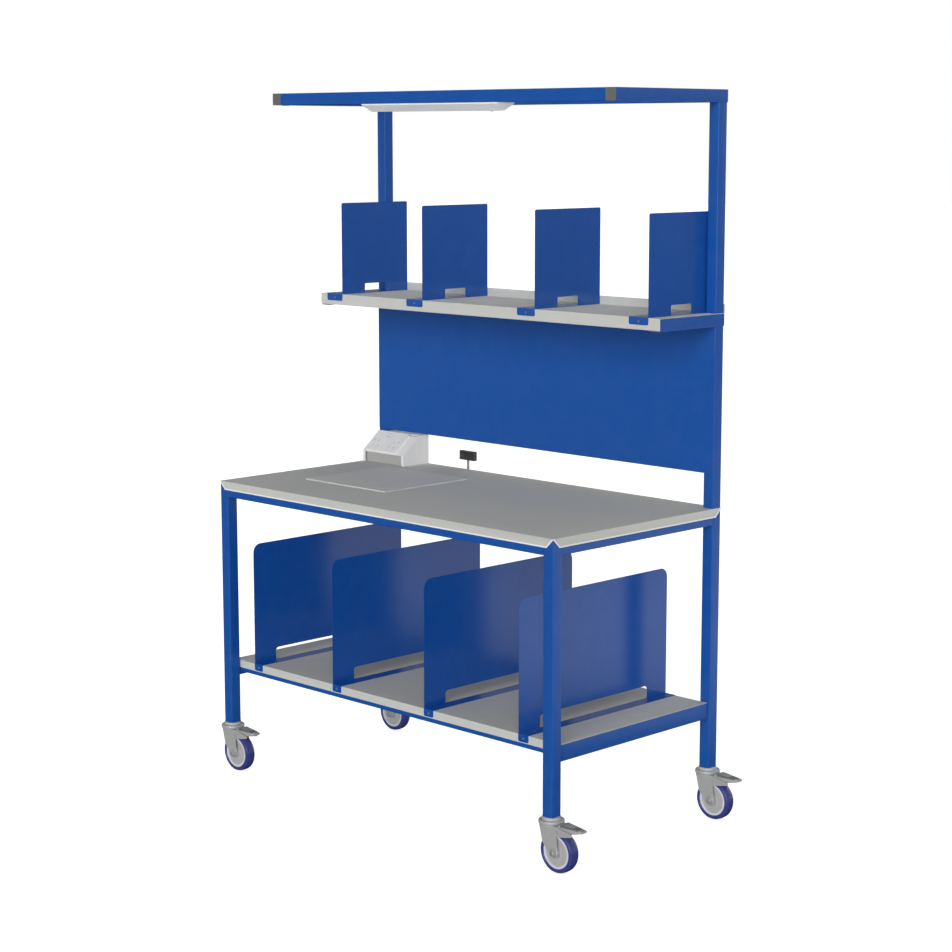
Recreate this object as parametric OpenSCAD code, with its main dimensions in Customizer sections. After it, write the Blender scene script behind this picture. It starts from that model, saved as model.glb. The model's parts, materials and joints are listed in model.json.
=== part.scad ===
// Mobile packing table: a steel worktop on four braked swivel castors, with a lower shelf, an upper
// shelf, upright dividers on both, a rear panel, a canopy with a strip lamp, a built-in scale and a
// twin power socket.
// X runs along the table, Y from its front to its rear, and Z up from the floor.
// The origin is on the floor, in the middle of the whole table's outline, pedals included.

/* [Worktop] */
// Length of the worktop over its hem
worktop_l = 1500; // [1200:10:2000]
// Depth of the worktop over its hem
worktop_w = 750; // [650:10:900]
// Height of the worktop's surface above the floor
worktop_h = 975; // [850:5:1100]
// Thickness of the worktop's sheet
worktop_sheet = 1.2; // [0.8:0.1:2]
// Height of the worktop's folded apron
apron_h = 28; // [22:1:40]
// Height of the apron that is left at each corner, where its mitre starts
apron_corner_h = 2; // [1:0.5:4]
// Height of the hem along the apron's lower edge
hem_h = 4.5; // [3:0.5:7]
// Step by which the hem stands out from the apron
hem_step = 0.8; // [0.4:0.1:1.5]

/* [Frame] */
// Width of the square frame tube
tube_w = 38; // [30:1:50]
// Wall of the square frame tube
tube_wall = 2; // [1.5:0.1:2.2]
// Corner radius of the frame tubes
tube_r = 2.5; // [2.3:0.1:4]
// Width of the rectangular rail tube
rail_w = 25; // [20:1:30]
// Height of the rectangular rail tube
rail_h = 50; // [40:1:60]
// Wall of the rectangular rail tube
rail_wall = 1.5; // [1.2:0.1:2]
// Height of the long rails under the lower shelf
shelf_rail_h = 38; // [30:1:45]
// Thickness of the plastic caps' flange
cap_t = 3; // [2:0.5:5]
// Depth of the plastic caps' plug
cap_plug = 14; // [8:1:25]
// Play between a plug and the tube around it
plug_play = 0.2; // [0.1:0.05:0.4]

/* [Shelves] */
// Height of the lower shelf's surface above the floor
low_shelf_h = 370; // [300:5:450]
// Height of the upper shelf's surface above the worktop
high_shelf_h = 593; // [500:1:700]
// Depth of the upper shelf
high_shelf_w = 300; // [250:5:350]
// Thickness of the shelves' sheet
shelf_sheet = 1.5; // [1:0.1:2]
// Height of the lower shelf's front and rear lips
low_lip_h = 25; // [20:1:30]
// Height of the upper shelf's front lip
high_lip_h = 36; // [28:1:45]
// Depth of the return under the upper shelf's front lip
lip_return = 12; // [8:1:20]
// Height of the upper shelf's rear upstand
upstand_h = 27; // [15:1:40]
// Gap between the lower shelf and the legs
low_shelf_gap = 4; // [1:0.5:8]
// Width of a folded stiffener under a sheet
stiffener_w = 60; // [40:5:80]
// Depth of a folded stiffener under a sheet
stiffener_h = 20; // [12:1:22]

/* [Dividers] */
// Thickness of the dividers' sheet
divider_sheet = 1.5; // [1:0.1:2]
// Places of the four lower dividers, as shares of the half length between the legs
lower_divider_shares = [-0.896, -0.348, 0.245, 0.808]; // [-0.98:0.001:0.98]
// Height of the lower dividers above their shelf
lower_divider_h = 401; // [300:1:450]
// Corner radius of the lower dividers
lower_divider_r = 29; // [20:1:80]
// Width of the lower dividers' foot and tab
lower_foot_w = 41; // [30:1:60]
// Length of the lower dividers' cut-out along the shelf
lower_cut_l = 483; // [300:1:520]
// Height of the lower dividers' cut-out
lower_cut_h = 40; // [20:1:60]
// Corner radius of the lower dividers' cut-out
lower_cut_r = 12; // [4:1:20]
// Places of the four upper dividers, as shares of the half length between the uprights
upper_divider_shares = [-0.904, -0.356, 0.349, 0.994]; // [-0.98:0.001:0.996]
// Height of the upper dividers above their shelf
upper_divider_h = 304; // [200:1:400]
// Corner radius of the upper dividers
upper_divider_r = 6; // [2:1:20]
// Width of the upper dividers' foot and tab
upper_foot_w = 75; // [50:1:90]
// Length of the upper dividers' cut-out along the shelf
upper_cut_l = 94; // [60:1:120]
// Height of the upper dividers' cut-out
upper_cut_h = 32; // [15:1:50]
// Corner radius of the upper dividers' cut-out
upper_cut_r = 4; // [2:0.5:10]
// Height of the front tabs that hang over the lips
tab_h = 22; // [14:1:24]
// Corner radius of the front tabs
tab_r = 6; // [2:1:8]
// Radius of the tab screws' shank
screw_r = 2; // [1.5:0.1:2.5]
// Radius of the tab screws' head
screw_head_r = 3.6; // [3:0.1:5]
// Height of the tab screws' head
screw_head_h = 2.2; // [1.5:0.1:3]
// Length of the tab screws' shank
screw_l = 7; // [5:0.5:10]
// Play around the tab screws' shank
screw_play = 0.2; // [0.1:0.05:0.4]

/* [Rear structure] */
// Height of the canopy's top above the worktop
canopy_h = 1255; // [1100:5:1400]
// Length of the canopy arms from the rear of the uprights, over the front cap
canopy_l = 500; // [400:5:600]
// Height of the rear panel's lower edge above the worktop
panel_bottom = 107; // [104:1:200]
// Gap between the rear panel and the shelf's arms above it
panel_gap = 1.5; // [0.5:0.5:5]
// Gap between the rear panel's ends and the uprights' outer faces
panel_end_gap = 1; // [0.5:0.5:5]
// Thickness of the rear panel's sheet
panel_sheet = 1.5; // [1:0.1:2]
// Depth of the rear panel's folds between the uprights
panel_fold = 15; // [8:1:25]
// Corner radius of the rear panel
panel_r = 5; // [2:1:10]

/* [Lamp] */
// Length of the strip lamp
lamp_l = 600; // [400:10:1000]
// Width of the lamp at its top
lamp_w = 72; // [50:1:90]
// Width of the lamp's flat underside
lamp_bottom_w = 18; // [14:1:30]
// Height of the lamp
lamp_h = 24; // [18:1:35]
// Height of the lamp's straight upper edge
lamp_edge_h = 4; // [3:0.5:6]
// Wall of the lamp's tray and cover
lamp_wall = 1.5; // [1:0.1:2]
// Thickness of the lamp's end caps
lamp_end_t = 3; // [2:0.5:5]
// Distance by which the lamp's ends lean in at its underside
lamp_lean = 18; // [2:1:24]
// Width of the lamp's light board
lamp_board_w = 22; // [15:1:30]
// Thickness of the lamp's light board
lamp_board_t = 1.6; // [1:0.1:3]
// Radius of the lamp's push switch
lamp_switch_r = 3.5; // [2.5:0.1:5]
// Travel of the lamp's push switch
lamp_switch_travel = 1.5; // [1:0.1:2.5]
// Place of the switch as a share of the lamp's half length
lamp_switch_share = 0.8; // [0.5:0.01:0.85]
// Play around parts that push in or turn without a bearing
free_play = 0.4; // [0.3:0.05:0.6]

/* [Scale] */
// Length of the scale's platform
scale_l = 385; // [250:5:450]
// Depth of the scale's platform
scale_w = 370; // [250:5:400]
// Place of the scale's middle along the table, as a share of its half length
scale_share = -0.5; // [-0.6:0.01:0.6]
// Distance of the scale's middle behind the worktop's middle
scale_y = 24; // [-40:1:40]
// Height by which the platform stands over the worktop
scale_proud = 4; // [1:0.5:8]
// Gap around the platform
scale_gap = 1.5; // [1:0.5:4]
// Thickness of the platform's sheet
scale_sheet = 2; // [1.5:0.1:3]
// Height of the platform's rim
scale_rim_h = 16; // [10:1:22]
// Depth of the pan under the scale
pan_h = 60; // [50:1:80]
// Width of the flange around the pan
pan_flange = 12; // [8:1:20]
// Gap between the pan's flange and the stiffeners beside it
pan_side_gap = 5; // [2:1:20]
// Length of the load cell
cell_l = 130; // [100:5:160]
// Width of the load cell
cell_w = 30; // [25:1:40]
// Height of the load cell's bar
cell_h = 22; // [18:1:24]
// Length of the pads at the load cell's ends
cell_pad_l = 40; // [30:1:45]

/* [Weight display] */
// Width of the display's case
display_w = 72; // [60:1:120]
// Height of the display's case
display_h = 31; // [25:1:50]
// Depth of the display's case
display_t = 12; // [12:1:25]
// Radius of the case's corners
display_r = 1.5; // [1:0.5:3]
// Width of the case's border around the display's window
display_border = 4.5; // [3:0.5:6]
// Depth of the recess for the window
display_recess = 0.8; // [0.4:0.1:1.5]
// Height of the case's lower edge above the worktop
display_z = 29; // [20:1:60]
// Place of the display's pole as a share of the table's half length
display_share = -0.475; // [-0.6:0.001:0.6]
// Radius of the display's pole
pole_r = 4.5; // [4:0.1:5]
// Gap between the pole and the worktop's rear edge
pole_gap = 4.5; // [3:0.5:10]
// Depth of the pole's seat in the case
pole_seat = 20; // [12:1:24]
// Width of the bracket behind the worktop's apron
bracket_w = 36; // [24:1:60]
// Height of the bracket behind the worktop's apron
bracket_h = 20; // [14:1:22]
// Thickness of the pole's bracket
bracket_t = 1.5; // [1:0.1:2]

/* [Power socket] */
// Length of the socket console
console_l = 209; // [200:1:260]
// Depth of the socket console
console_w = 118; // [110:1:130]
// Height of the socket console
console_h = 100; // [90:1:102]
// Height of the console's upright front
console_front_h = 36; // [30:1:45]
// Depth of the console's flat top
console_top_w = 42; // [41:1:50]
// Thickness of the console's sheet
console_sheet = 1.5; // [1:0.1:2]
// Depth by which the console's upright front is set back
console_recess = 10; // [4:1:14]
// Width of the folds at both sides of the set-back front
console_fold = 13; // [8:1:16]
// Length of the console's cable slots
cable_slot_l = 45; // [25:1:55]
// Height of the console's cable slots
cable_slot_h = 3.5; // [2:0.5:3.9]
// Width of the twin socket plate
plate_w = 150; // [146:1:160]
// Height of the twin socket plate
plate_h = 86; // [80:1:90]
// Thickness of the twin socket plate
plate_t = 9; // [7:0.5:12]
// Corner radius of the twin socket plate
plate_r = 4; // [2:0.5:8]
// Distance of the plate's middle from the console's middle, to the left
plate_shift = 14; // [0:1:16]
// Distance between the two outlets
outlet_gap = 78; // [72:1:84]
// Depth of the shuttered pin slots
pin_depth = 3; // [2:0.5:5]
// Length of the earth pin's slot
earth_l = 8.2; // [8:0.1:9]
// Length of the other two pins' slots
pin_l = 6.6; // [6.3:0.1:7]
// Width of all pin slots
pin_w = 3.9; // [3.5:0.1:3.9]
// Distance between the two lower pin slots
pin_gap = 22.2; // [22:0.1:23]
// Distance from the lower pin slots up to the earth slot
earth_rise = 22.2; // [22:0.1:23]
// Distance of the lower pin slots below the plate's middle
pin_drop = 25; // [20:1:28]
// Width of a rocker switch
rocker_w = 13; // [10:0.5:16]
// Height of a rocker switch
rocker_h = 21; // [16:0.5:24]
// Distance of the rockers above the plate's middle
rocker_rise = 22; // [16:1:26]
// Distance between the two rockers
rocker_gap = 19; // [17:0.5:24]
// Height of a rocker's ends over its pin, as a share of the plate's thickness
rocker_top_share = 0.62; // [0.5:0.01:0.8]
// Radius of a rocker's pin
rocker_pin_r = 1; // [0.8:0.1:1.5]
// Tilt of a rocker between off and on
rocker_tilt = 12; // [8:1:16]

/* [Castors] */
// Radius of the wheels
wheel_r = 62.5; // [50:0.5:70]
// Width of the tyres
wheel_w = 36; // [30:1:38]
// Thickness of the tyres
tyre_t = 13.5; // [8:0.5:15]
// Distance by which the tyre's sides stand out from the core's
tyre_step = 2.3; // [1:0.1:4]
// Width of the rim on each face of the wheel's core
rim_w = 9; // [5:0.5:12]
// Height of the castors from the floor to the top of their head
castor_h = 154.5; // [150:0.5:170]
// Distance that the wheel's axle trails behind the swivel
castor_trail = 32; // [26:1:38]
// Radius of the swivel head
head_r = 38.5; // [36:0.5:40]
// Height of the swivel head
head_h = 12; // [10:0.5:14]
// Height of the collar between the head and the leg
collar_h = 6.5; // [4:0.5:12]
// Radius of the collar
collar_r = 27.5; // [26:0.5:30]
// Height of the plug in the leg
leg_plug_h = 45; // [30:1:60]
// Radius of the swivel's kingpin and of the stem in the leg
kingpin_r = 6; // [5:0.1:7]
// Radius of the kingpin's riveted end
kingpin_head_r = 10; // [8:0.5:12]
// Height of the kingpin's riveted end
kingpin_head_h = 4; // [3:0.5:5]
// Gap between the head and the fork's crown
race_gap = 0.4; // [0.3:0.05:0.8]
// Thickness of the fork's plates
fork_t = 3; // [2.5:0.1:4]
// Gap between the fork's plates
fork_gap = 42; // [40:1:46]
// Thickness of the fork's crown
crown_t = 4; // [3:0.5:5]
// Length of the fork's crown ahead of the swivel
fork_front = 27; // [22:1:30]
// Length of the fork's crown behind the swivel
fork_back = 26; // [20:1:28]
// Height of the front web below the crown
fork_web_h = 18; // [10:1:22]
// Radius of the fork's lower end around the axle
fork_end_r = 16; // [13:0.5:19]
// Height of the fork's bulging front edge above the axle
fork_waist_h = 26; // [18:1:32]
// Distance of the fork's bulging front edge ahead of the swivel
fork_waist = 14; // [8:1:18]
// Distance of the fork's rear edge behind the swivel
fork_rear = 41; // [36:1:44]
// Distance of the wing's tip behind the swivel
wing_reach = 99; // [80:1:105]
// Height of the wing's tip above the axle
wing_tip_rise = 64; // [58:1:68]
// Radius of the wing's tip
wing_tip_r = 4; // [2:0.5:6]
// Height of the wing's root above the axle
wing_root_rise = 49; // [44:1:54]
// Radius of the axle
axle_r = 5; // [4:0.1:6]
// Width of the axle bolt's head and nut across their corners
axle_head_w = 22; // [15:0.5:24]
// Height of the axle bolt's head and nut
axle_head_h = 8; // [4:0.5:9]
// Radius of the washers under them
washer_r = 13; // [10:0.5:14]
// Thickness of the washers
washer_t = 1.6; // [1:0.1:2.5]
// Running clearance of every pin in its bore, on the radius
pin_play = 0.05; // [0.02:0.01:0.1]
// Radius of the wheel's hub
hub_r = 15; // [12:0.5:18]
// Depth of the dish on each face of the wheel's core
core_dish = 4; // [2:0.5:7]

/* [Brake pedals] */
// Distance of the pedal's pivot behind the swivel
pivot_x = 41; // [38:1:44]
// Height of the pedal's pivot above the axle
pivot_rise = 62.5; // [58:0.5:66]
// Radius of the pedal's pivot pin
pivot_r = 3; // [2.5:0.1:4]
// Distance of the pedal's tip behind the swivel
pedal_reach = 127; // [110:1:135]
// Length of the tongue beyond the pedal's tip
tongue_l = 7; // [3:1:10]
// Width of the pedal at its tip
pedal_tip_w = 20; // [14:1:28]
// Distance of the pedal's root behind the swivel
pedal_root = 46; // [43:1:50]
// Height of the pedal's tread above the pivot, at its root
pedal_root_h = 23; // [20:1:26]
// Height of the pedal's tread above the pivot, at its tip
pedal_tip_h = 19; // [15:1:22]
// Depth of the pedal's sides at its tip
pedal_tip_t = 7; // [5:0.5:10]
// Wall of the pedal
pedal_wall = 2; // [1.5:0.1:2.2]
// Radius of the pedal's lugs around the pivot pin
lug_r = 8; // [6:0.5:9]
// Travel of the pedal from off to on
brake_travel = 9; // [5:1:12]
// Gap that is left between the brake's shoe and the tyre
shoe_gap = 0.6; // [0.4:0.1:1.5]
// Length of the brake's shoe
shoe_l = 22; // [14:1:28]
// Number of ribs across the pedal's tread
tread_ribs = 5; // [3:1:7]
// Height and width of those ribs
tread_rib = 1.2; // [0.8:0.1:2]

/* [Hidden] */

// Sides of the table, as signs
left = -1;
right = 1;
front = -1;
rear = 1;
both = [left, right];

// Colours
frame_blue = [0.06, 0.27, 0.60];
sheet_grey = [0.60, 0.62, 0.61];
light_grey = [0.80, 0.81, 0.80];
dark_grey = [0.30, 0.30, 0.30];
zinc_grey = [0.66, 0.67, 0.67];
tyre_blue = [0.18, 0.20, 0.50];

// How far a cut runs past the solid that it cuts
over = worktop_sheet;
// Smoothness of round parts, and of small corners
round_steps = 72;
corner_steps = 24;

// Worktop and legs: faces, middles and heights
apron_x = worktop_l / 2 - hem_step;
apron_y = worktop_w / 2 - hem_step;
leg_face_x = apron_x - worktop_sheet;
leg_face_y = apron_y - worktop_sheet;
leg_x = leg_face_x - tube_w / 2;
leg_y = leg_face_y - tube_w / 2;
inner_x = leg_face_x - tube_w;
inner_y = leg_face_y - tube_w;
leg_foot_h = castor_h + collar_h;
leg_top_h = worktop_h - worktop_sheet;
notch_l = apron_h - apron_corner_h;

// The middle of the worktop, so that the outline is centred on the origin
pedal_end = leg_x + pedal_reach + tongue_l;
table_x = (leg_x + head_r - pedal_end) / 2;

// Places of the lower shelf's stiffeners, as shares of the half length between the legs
lower_stiffener_shares = [-0.55, 0, 0.55];

// Lower shelf and its frame
low_shelf_x = leg_face_x - (tube_w - rail_w) / 2;
low_shelf_y = inner_y - low_shelf_gap;
low_frame_top = low_shelf_h - shelf_sheet;

// Upper shelf, uprights and canopy, from the floor
high_shelf_z = worktop_h + high_shelf_h;
high_shelf_y = worktop_w / 2 - high_shelf_w;
arm_z = high_shelf_z - shelf_sheet - tube_w;
arm_front_y = high_shelf_y + shelf_sheet + free_play + cap_t;
canopy_z = worktop_h + canopy_h - tube_w;
canopy_front_y = leg_face_y - canopy_l + cap_t;
beam_y = canopy_front_y + tube_w / 2;

// Dividers
lower_divider_xs = [for (share = lower_divider_shares) share * inner_x];
upper_divider_xs = [for (share = upper_divider_shares) share * inner_x];
lower_divider_l = 2 * low_shelf_y;
upper_divider_l = high_shelf_w - shelf_sheet - free_play;
upper_foot_l = inner_y - high_shelf_y - panel_sheet - free_play;

// Scale, from the table's middle
scale_x = scale_share * worktop_l / 2;
scale_hole_l = scale_l + 2 * scale_gap;
scale_hole_w = scale_w + 2 * scale_gap;
platform_top = worktop_h + scale_proud;
pan_floor_z = worktop_h - worktop_sheet - pan_h;
cell_pad_h = (platform_top - scale_sheet - pan_floor_z - worktop_sheet - cell_h) / 2;
pan_l = scale_hole_l + 2 * worktop_sheet;
pan_w = scale_hole_w + 2 * worktop_sheet;

// Places of the worktop's stiffeners: two beside the pan, and two as shares of the rest
pan_stiffener_x = pan_l / 2 + pan_flange + pan_side_gap + stiffener_w / 2;
rest_start = scale_x + pan_stiffener_x;
rest_l = inner_x - rest_start;
rest_shares = [0.39, 0.73];
rest_xs = [for (share = rest_shares) rest_start + share * rest_l];
worktop_stiffener_xs = concat([scale_x - pan_stiffener_x, rest_start], rest_xs);

// Weight display
display_x = display_share * worktop_l / 2;
pole_y = worktop_w / 2 + pole_gap + pole_r;
pole_top = worktop_h + display_z + pole_seat;
pole_bottom = worktop_h - apron_h;

// Power socket: the slope's middle and angle
console_x = console_l / 2 - worktop_l / 2;
console_y = worktop_w / 2 - console_w;
slope_w = console_w - console_top_w;
slope_h = console_h - console_front_h;
slope_angle = atan2(slope_h, slope_w);

// Rockers: height of their ends over the pin, dip in their middle, and the pin
rocker_top = plate_t * rocker_top_share;
rocker_dip = rocker_h / 2 * tan(rocker_tilt / 2);
rocker_pin_l = rocker_w + pin_depth;

// Lamp
lamp_z = canopy_z;
lamp_board_rise = (lamp_wall + lamp_board_t) / lamp_h;
lamp_board_l = lamp_l - 2 * (lamp_end_t + lamp_wall + lamp_lean * lamp_board_rise);
lamp_switch_x = lamp_switch_share * lamp_l / 2;

// Castors, from the swivel's axis on the floor
head_bottom = castor_h - head_h;
crown_top = head_bottom - race_gap;
crown_bottom = crown_top - crown_t;
fork_face_y = fork_gap / 2 + fork_t;
axle_face_y = fork_face_y + washer_t;
core_r = wheel_r - tyre_t;
core_w = wheel_w - 2 * tyre_step;
pivot_h = wheel_r + pivot_rise;
lug_w = fork_gap - 2 * free_play;

// Basic shapes

module on_table() {
    translate([table_x, 0, 0]) children();
}

module at_leg(side, end) {
    translate([table_x + side * leg_x, end * leg_y, 0]) children();
}

module at_every_leg() {
    for (side = both, end = [front, rear]) at_leg(side, end) children();
}

module rounded_rect(width, height, radius) {
    offset(r = radius, $fn = corner_steps)
        square([width - 2 * radius, height - 2 * radius], center = true);
}

module tube_section(width, height, wall) {
    difference() {
        rounded_rect(width, height, tube_r);
        rounded_rect(width - 2 * wall, height - 2 * wall, tube_r - wall);
    }
}

// Runs a section along X or Y from the place where it is put
module along_x(length) {
    rotate([90, 0, 90]) linear_extrude(length) children();
}

module along_y(length) {
    translate([0, length, 0]) rotate([90, 0, 0]) linear_extrude(length) children();
}

// A folded stiffener, open to the sheet above it, with its top at zero
module stiffener_section() {
    translate([-stiffener_w / 2, -stiffener_h]) difference() {
        square([stiffener_w, stiffener_h]);
        translate([rail_w / 2, shelf_sheet]) square([stiffener_w - rail_w, stiffener_h]);
        for (edge = [-over, stiffener_w - rail_w / 2 + shelf_sheet])
            translate([edge, -over])
                square([rail_w / 2 - shelf_sheet + over, stiffener_h - shelf_sheet + over]);
    }
}

// Legs and rails

module leg(side, end) {
    color(frame_blue) at_leg(side, end) translate([0, 0, leg_foot_h])
        linear_extrude(leg_top_h - leg_foot_h) tube_section(tube_w, tube_w, tube_wall);
}

module top_rails() {
    rail_z = leg_top_h - rail_h / 2;
    color(frame_blue) on_table() {
        for (end = [front, rear])
            translate([-inner_x, end * (leg_face_y - rail_w / 2), rail_z])
                along_x(2 * inner_x) tube_section(rail_w, rail_h, rail_wall);
        for (side = both)
            translate([side * (leg_face_x - rail_w / 2), -inner_y, rail_z])
                along_y(2 * inner_y) tube_section(rail_w, rail_h, rail_wall);
    }
}

module shelf_frame() {
    long_rail_l = 2 * (low_shelf_x - rail_w);
    long_rail_y = low_shelf_y - shelf_sheet - rail_w / 2;
    color(frame_blue) on_table() difference() {
        union() {
            for (end = [front, rear])
                translate([-long_rail_l / 2, end * long_rail_y, low_frame_top - shelf_rail_h / 2])
                    along_x(long_rail_l) tube_section(rail_w, shelf_rail_h, rail_wall);
            for (side = both)
                translate([side * (low_shelf_x - rail_w / 2), -inner_y, low_frame_top - rail_h / 2])
                    along_y(2 * inner_y) tube_section(rail_w, rail_h, rail_wall);
        }
        lower_screw_holes();
    }
}

// Rear structure

module shelf_mast(side) {
    color(frame_blue) on_table() {
        translate([side * leg_x, leg_y, worktop_h])
            linear_extrude(arm_z - worktop_h) tube_section(tube_w, tube_w, tube_wall);
        translate([side * leg_x, arm_front_y, arm_z + tube_w / 2])
            along_y(leg_face_y - arm_front_y) tube_section(tube_w, tube_w, tube_wall);
    }
}

module canopy_mast(side) {
    color(frame_blue) on_table() {
        translate([side * leg_x, leg_y, high_shelf_z])
            linear_extrude(canopy_z - high_shelf_z) tube_section(tube_w, tube_w, tube_wall);
        translate([side * leg_x, canopy_front_y, canopy_z + tube_w / 2])
            along_y(leg_face_y - canopy_front_y) tube_section(tube_w, tube_w, tube_wall);
    }
}

module canopy_beam() {
    color(frame_blue) on_table() translate([-inner_x, beam_y, canopy_z + tube_w / 2])
        along_x(2 * inner_x) tube_section(tube_w, tube_w, tube_wall);
}

// A cap with its plug pointing along +Y and its outer face at zero
module tube_cap() {
    plug_w = tube_w - 2 * tube_wall - 2 * plug_play;
    along_y(cap_t) rounded_rect(tube_w, tube_w, tube_r);
    translate([0, cap_t, 0]) along_y(cap_plug) difference() {
        square(plug_w, center = true);
        square(plug_w - 2 * tube_wall, center = true);
    }
}

module tube_end_caps() {
    color(dark_grey) on_table() for (side = both) {
        translate([side * leg_x, canopy_front_y - cap_t, canopy_z + tube_w / 2]) tube_cap();
        translate([side * leg_x, arm_front_y - cap_t, arm_z + tube_w / 2]) tube_cap();
        for (height = [arm_z, canopy_z])
            translate([side * leg_x, leg_face_y + cap_t, height + tube_w / 2])
                mirror([0, 1, 0]) tube_cap();
    }
}

module back_panel() {
    panel_h = arm_z - panel_gap - worktop_h - panel_bottom;
    panel_l = 2 * (leg_face_x - panel_end_gap);
    fold_l = 2 * (inner_x - free_play);
    panel_z = worktop_h + panel_bottom;
    color(frame_blue) on_table() {
        translate([0, inner_y - panel_sheet, panel_z + panel_h / 2])
            along_y(panel_sheet) rounded_rect(panel_l, panel_h, panel_r);
        for (fold_z = [panel_z, panel_z + panel_h - panel_sheet])
            translate([-fold_l / 2, inner_y - panel_sheet, fold_z])
                cube([fold_l, panel_fold, panel_sheet]);
    }
}

// Worktop and shelves

// One side of the apron, its top edge at zero and its ends cut back by the mitre
module apron_section(length, height, drop) {
    polygon([
        [-length / 2, 0],
        [length / 2, 0],
        [length / 2, -drop],
        [length / 2 - height + drop, -height],
        [-length / 2 + height - drop, -height],
        [-length / 2, -drop]
    ]);
}

// The hem follows the apron's lower edge and its mitres
module hem_section(length) {
    rise = hem_h * sqrt(2) - apron_corner_h;
    difference() {
        apron_section(length, apron_h, apron_corner_h);
        apron_section(length - 2 * rise, apron_h - hem_h, 0);
    }
}

module apron_side(length) {
    translate([0, hem_step, 0]) along_y(worktop_sheet)
        apron_section(length, apron_h, apron_corner_h);
    along_y(hem_step) hem_section(length);
}

module worktop() {
    stiffener_l = 2 * (leg_face_y - rail_w);
    color(sheet_grey) on_table() {
        translate([0, 0, worktop_h - worktop_sheet]) linear_extrude(worktop_sheet) difference() {
            square([2 * apron_x, 2 * apron_y], center = true);
            translate([scale_x, scale_y]) square([scale_hole_l, scale_hole_w], center = true);
        }
        translate([0, 0, worktop_h]) for (turn = [0, 180]) rotate(turn) {
            translate([0, -worktop_w / 2, 0]) apron_side(2 * apron_x);
            rotate(90) translate([0, -worktop_l / 2, 0]) apron_side(2 * apron_y);
        }
        for (place = worktop_stiffener_xs)
            translate([place, -stiffener_l / 2, worktop_h - worktop_sheet])
                along_y(stiffener_l) stiffener_section();
    }
}

// The lips run between the side rails, whose ends reach past them to the legs
module lower_shelf() {
    lip_l = 2 * (low_shelf_x - rail_w);
    stiffener_l = 2 * (low_shelf_y - shelf_sheet - rail_w);
    color(sheet_grey) on_table() difference() {
        union() {
            translate([-low_shelf_x, -low_shelf_y, low_frame_top])
                cube([2 * low_shelf_x, 2 * low_shelf_y, shelf_sheet]);
            for (lip_y = [-low_shelf_y, low_shelf_y - shelf_sheet])
                translate([-lip_l / 2, lip_y, low_shelf_h - low_lip_h])
                    cube([lip_l, shelf_sheet, low_lip_h]);
            for (place = lower_stiffener_shares)
                translate([place * inner_x, -stiffener_l / 2, low_frame_top])
                    along_y(stiffener_l) stiffener_section();
        }
        lower_screw_holes();
    }
}

module upper_shelf() {
    hat_y = (high_shelf_y + inner_y) / 2;
    color(sheet_grey) on_table() difference() {
        union() {
            translate([-worktop_l / 2, high_shelf_y, high_shelf_z - shelf_sheet])
                cube([worktop_l, high_shelf_w, shelf_sheet]);
            translate([-worktop_l / 2, high_shelf_y, high_shelf_z - high_lip_h])
                cube([worktop_l, shelf_sheet, high_lip_h]);
            translate([-inner_x + free_play, high_shelf_y, high_shelf_z - high_lip_h])
                cube([2 * (inner_x - free_play), lip_return, shelf_sheet]);
            translate([-worktop_l / 2, worktop_w / 2 - shelf_sheet, high_shelf_z - shelf_sheet])
                cube([worktop_l, shelf_sheet, upstand_h + shelf_sheet]);
            translate([-inner_x + free_play, hat_y, high_shelf_z - shelf_sheet])
                along_x(2 * (inner_x - free_play)) stiffener_section();
        }
        upper_screw_holes();
    }
}

// Dividers: each is one folded sheet with its panel in the plane of Y and Z

module divider_panel(length, height, corner, cut_l, cut_h, cut_r) {
    difference() {
        union() {
            translate([-length / 2, 0]) square([length, height / 2]);
            translate([0, height / 2]) rounded_rect(length, height, corner);
        }
        translate([0, -cut_r]) rounded_rect(cut_l, 2 * (cut_h + cut_r), cut_r);
    }
}

module divider_tab(width) {
    difference() {
        union() {
            translate([0, tab_h / 2]) square([width, tab_h / 2]);
            translate([width / 2, tab_h / 2]) rounded_rect(width, tab_h, tab_r);
        }
        translate([width / 2, tab_h / 2]) circle(screw_r + screw_play, $fn = corner_steps);
    }
}

// The foot points along +X; the front is at zero in Y and the shelf's surface at zero in Z
module divider(length, height, corner, cut_l, cut_h, cut_r, foot_w, foot_l) {
    along_x(divider_sheet) translate([length / 2, 0])
        divider_panel(length, height, corner, cut_l, cut_h, cut_r);
    cube([foot_w, foot_l, divider_sheet]);
    translate([0, -divider_sheet, 0]) cube([foot_w, divider_sheet, divider_sheet]);
    translate([0, -divider_sheet, -tab_h]) along_y(divider_sheet) divider_tab(foot_w);
}

module lower_divider(number) {
    color(frame_blue) on_table()
        translate([lower_divider_xs[number - 1], -low_shelf_y, low_shelf_h])
            divider(lower_divider_l, lower_divider_h, lower_divider_r, lower_cut_l, lower_cut_h,
                lower_cut_r, lower_foot_w, lower_divider_l);
}

module upper_divider(number) {
    color(frame_blue) on_table()
        translate([upper_divider_xs[number - 1], high_shelf_y, high_shelf_z])
            mirror([1, 0, 0])
                divider(upper_divider_l, upper_divider_h, upper_divider_r, upper_cut_l,
                    upper_cut_h, upper_cut_r, upper_foot_w, upper_foot_l);
}

// Puts its child at each tab screw, on the tab's front face, pointing along +Y
module at_lower_screws() {
    for (place = lower_divider_xs)
        translate([place + lower_foot_w / 2, -low_shelf_y - divider_sheet, low_shelf_h - tab_h / 2])
            children();
}

module at_upper_screws() {
    for (place = upper_divider_xs)
        translate([place - upper_foot_w / 2, high_shelf_y - divider_sheet, high_shelf_z - tab_h / 2])
            children();
}

module screw_hole() {
    rotate([-90, 0, 0]) cylinder(h = screw_l + over, r = screw_r + screw_play, $fn = corner_steps);
}

module lower_screw_holes() {
    at_lower_screws() screw_hole();
}

module upper_screw_holes() {
    at_upper_screws() screw_hole();
}

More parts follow.
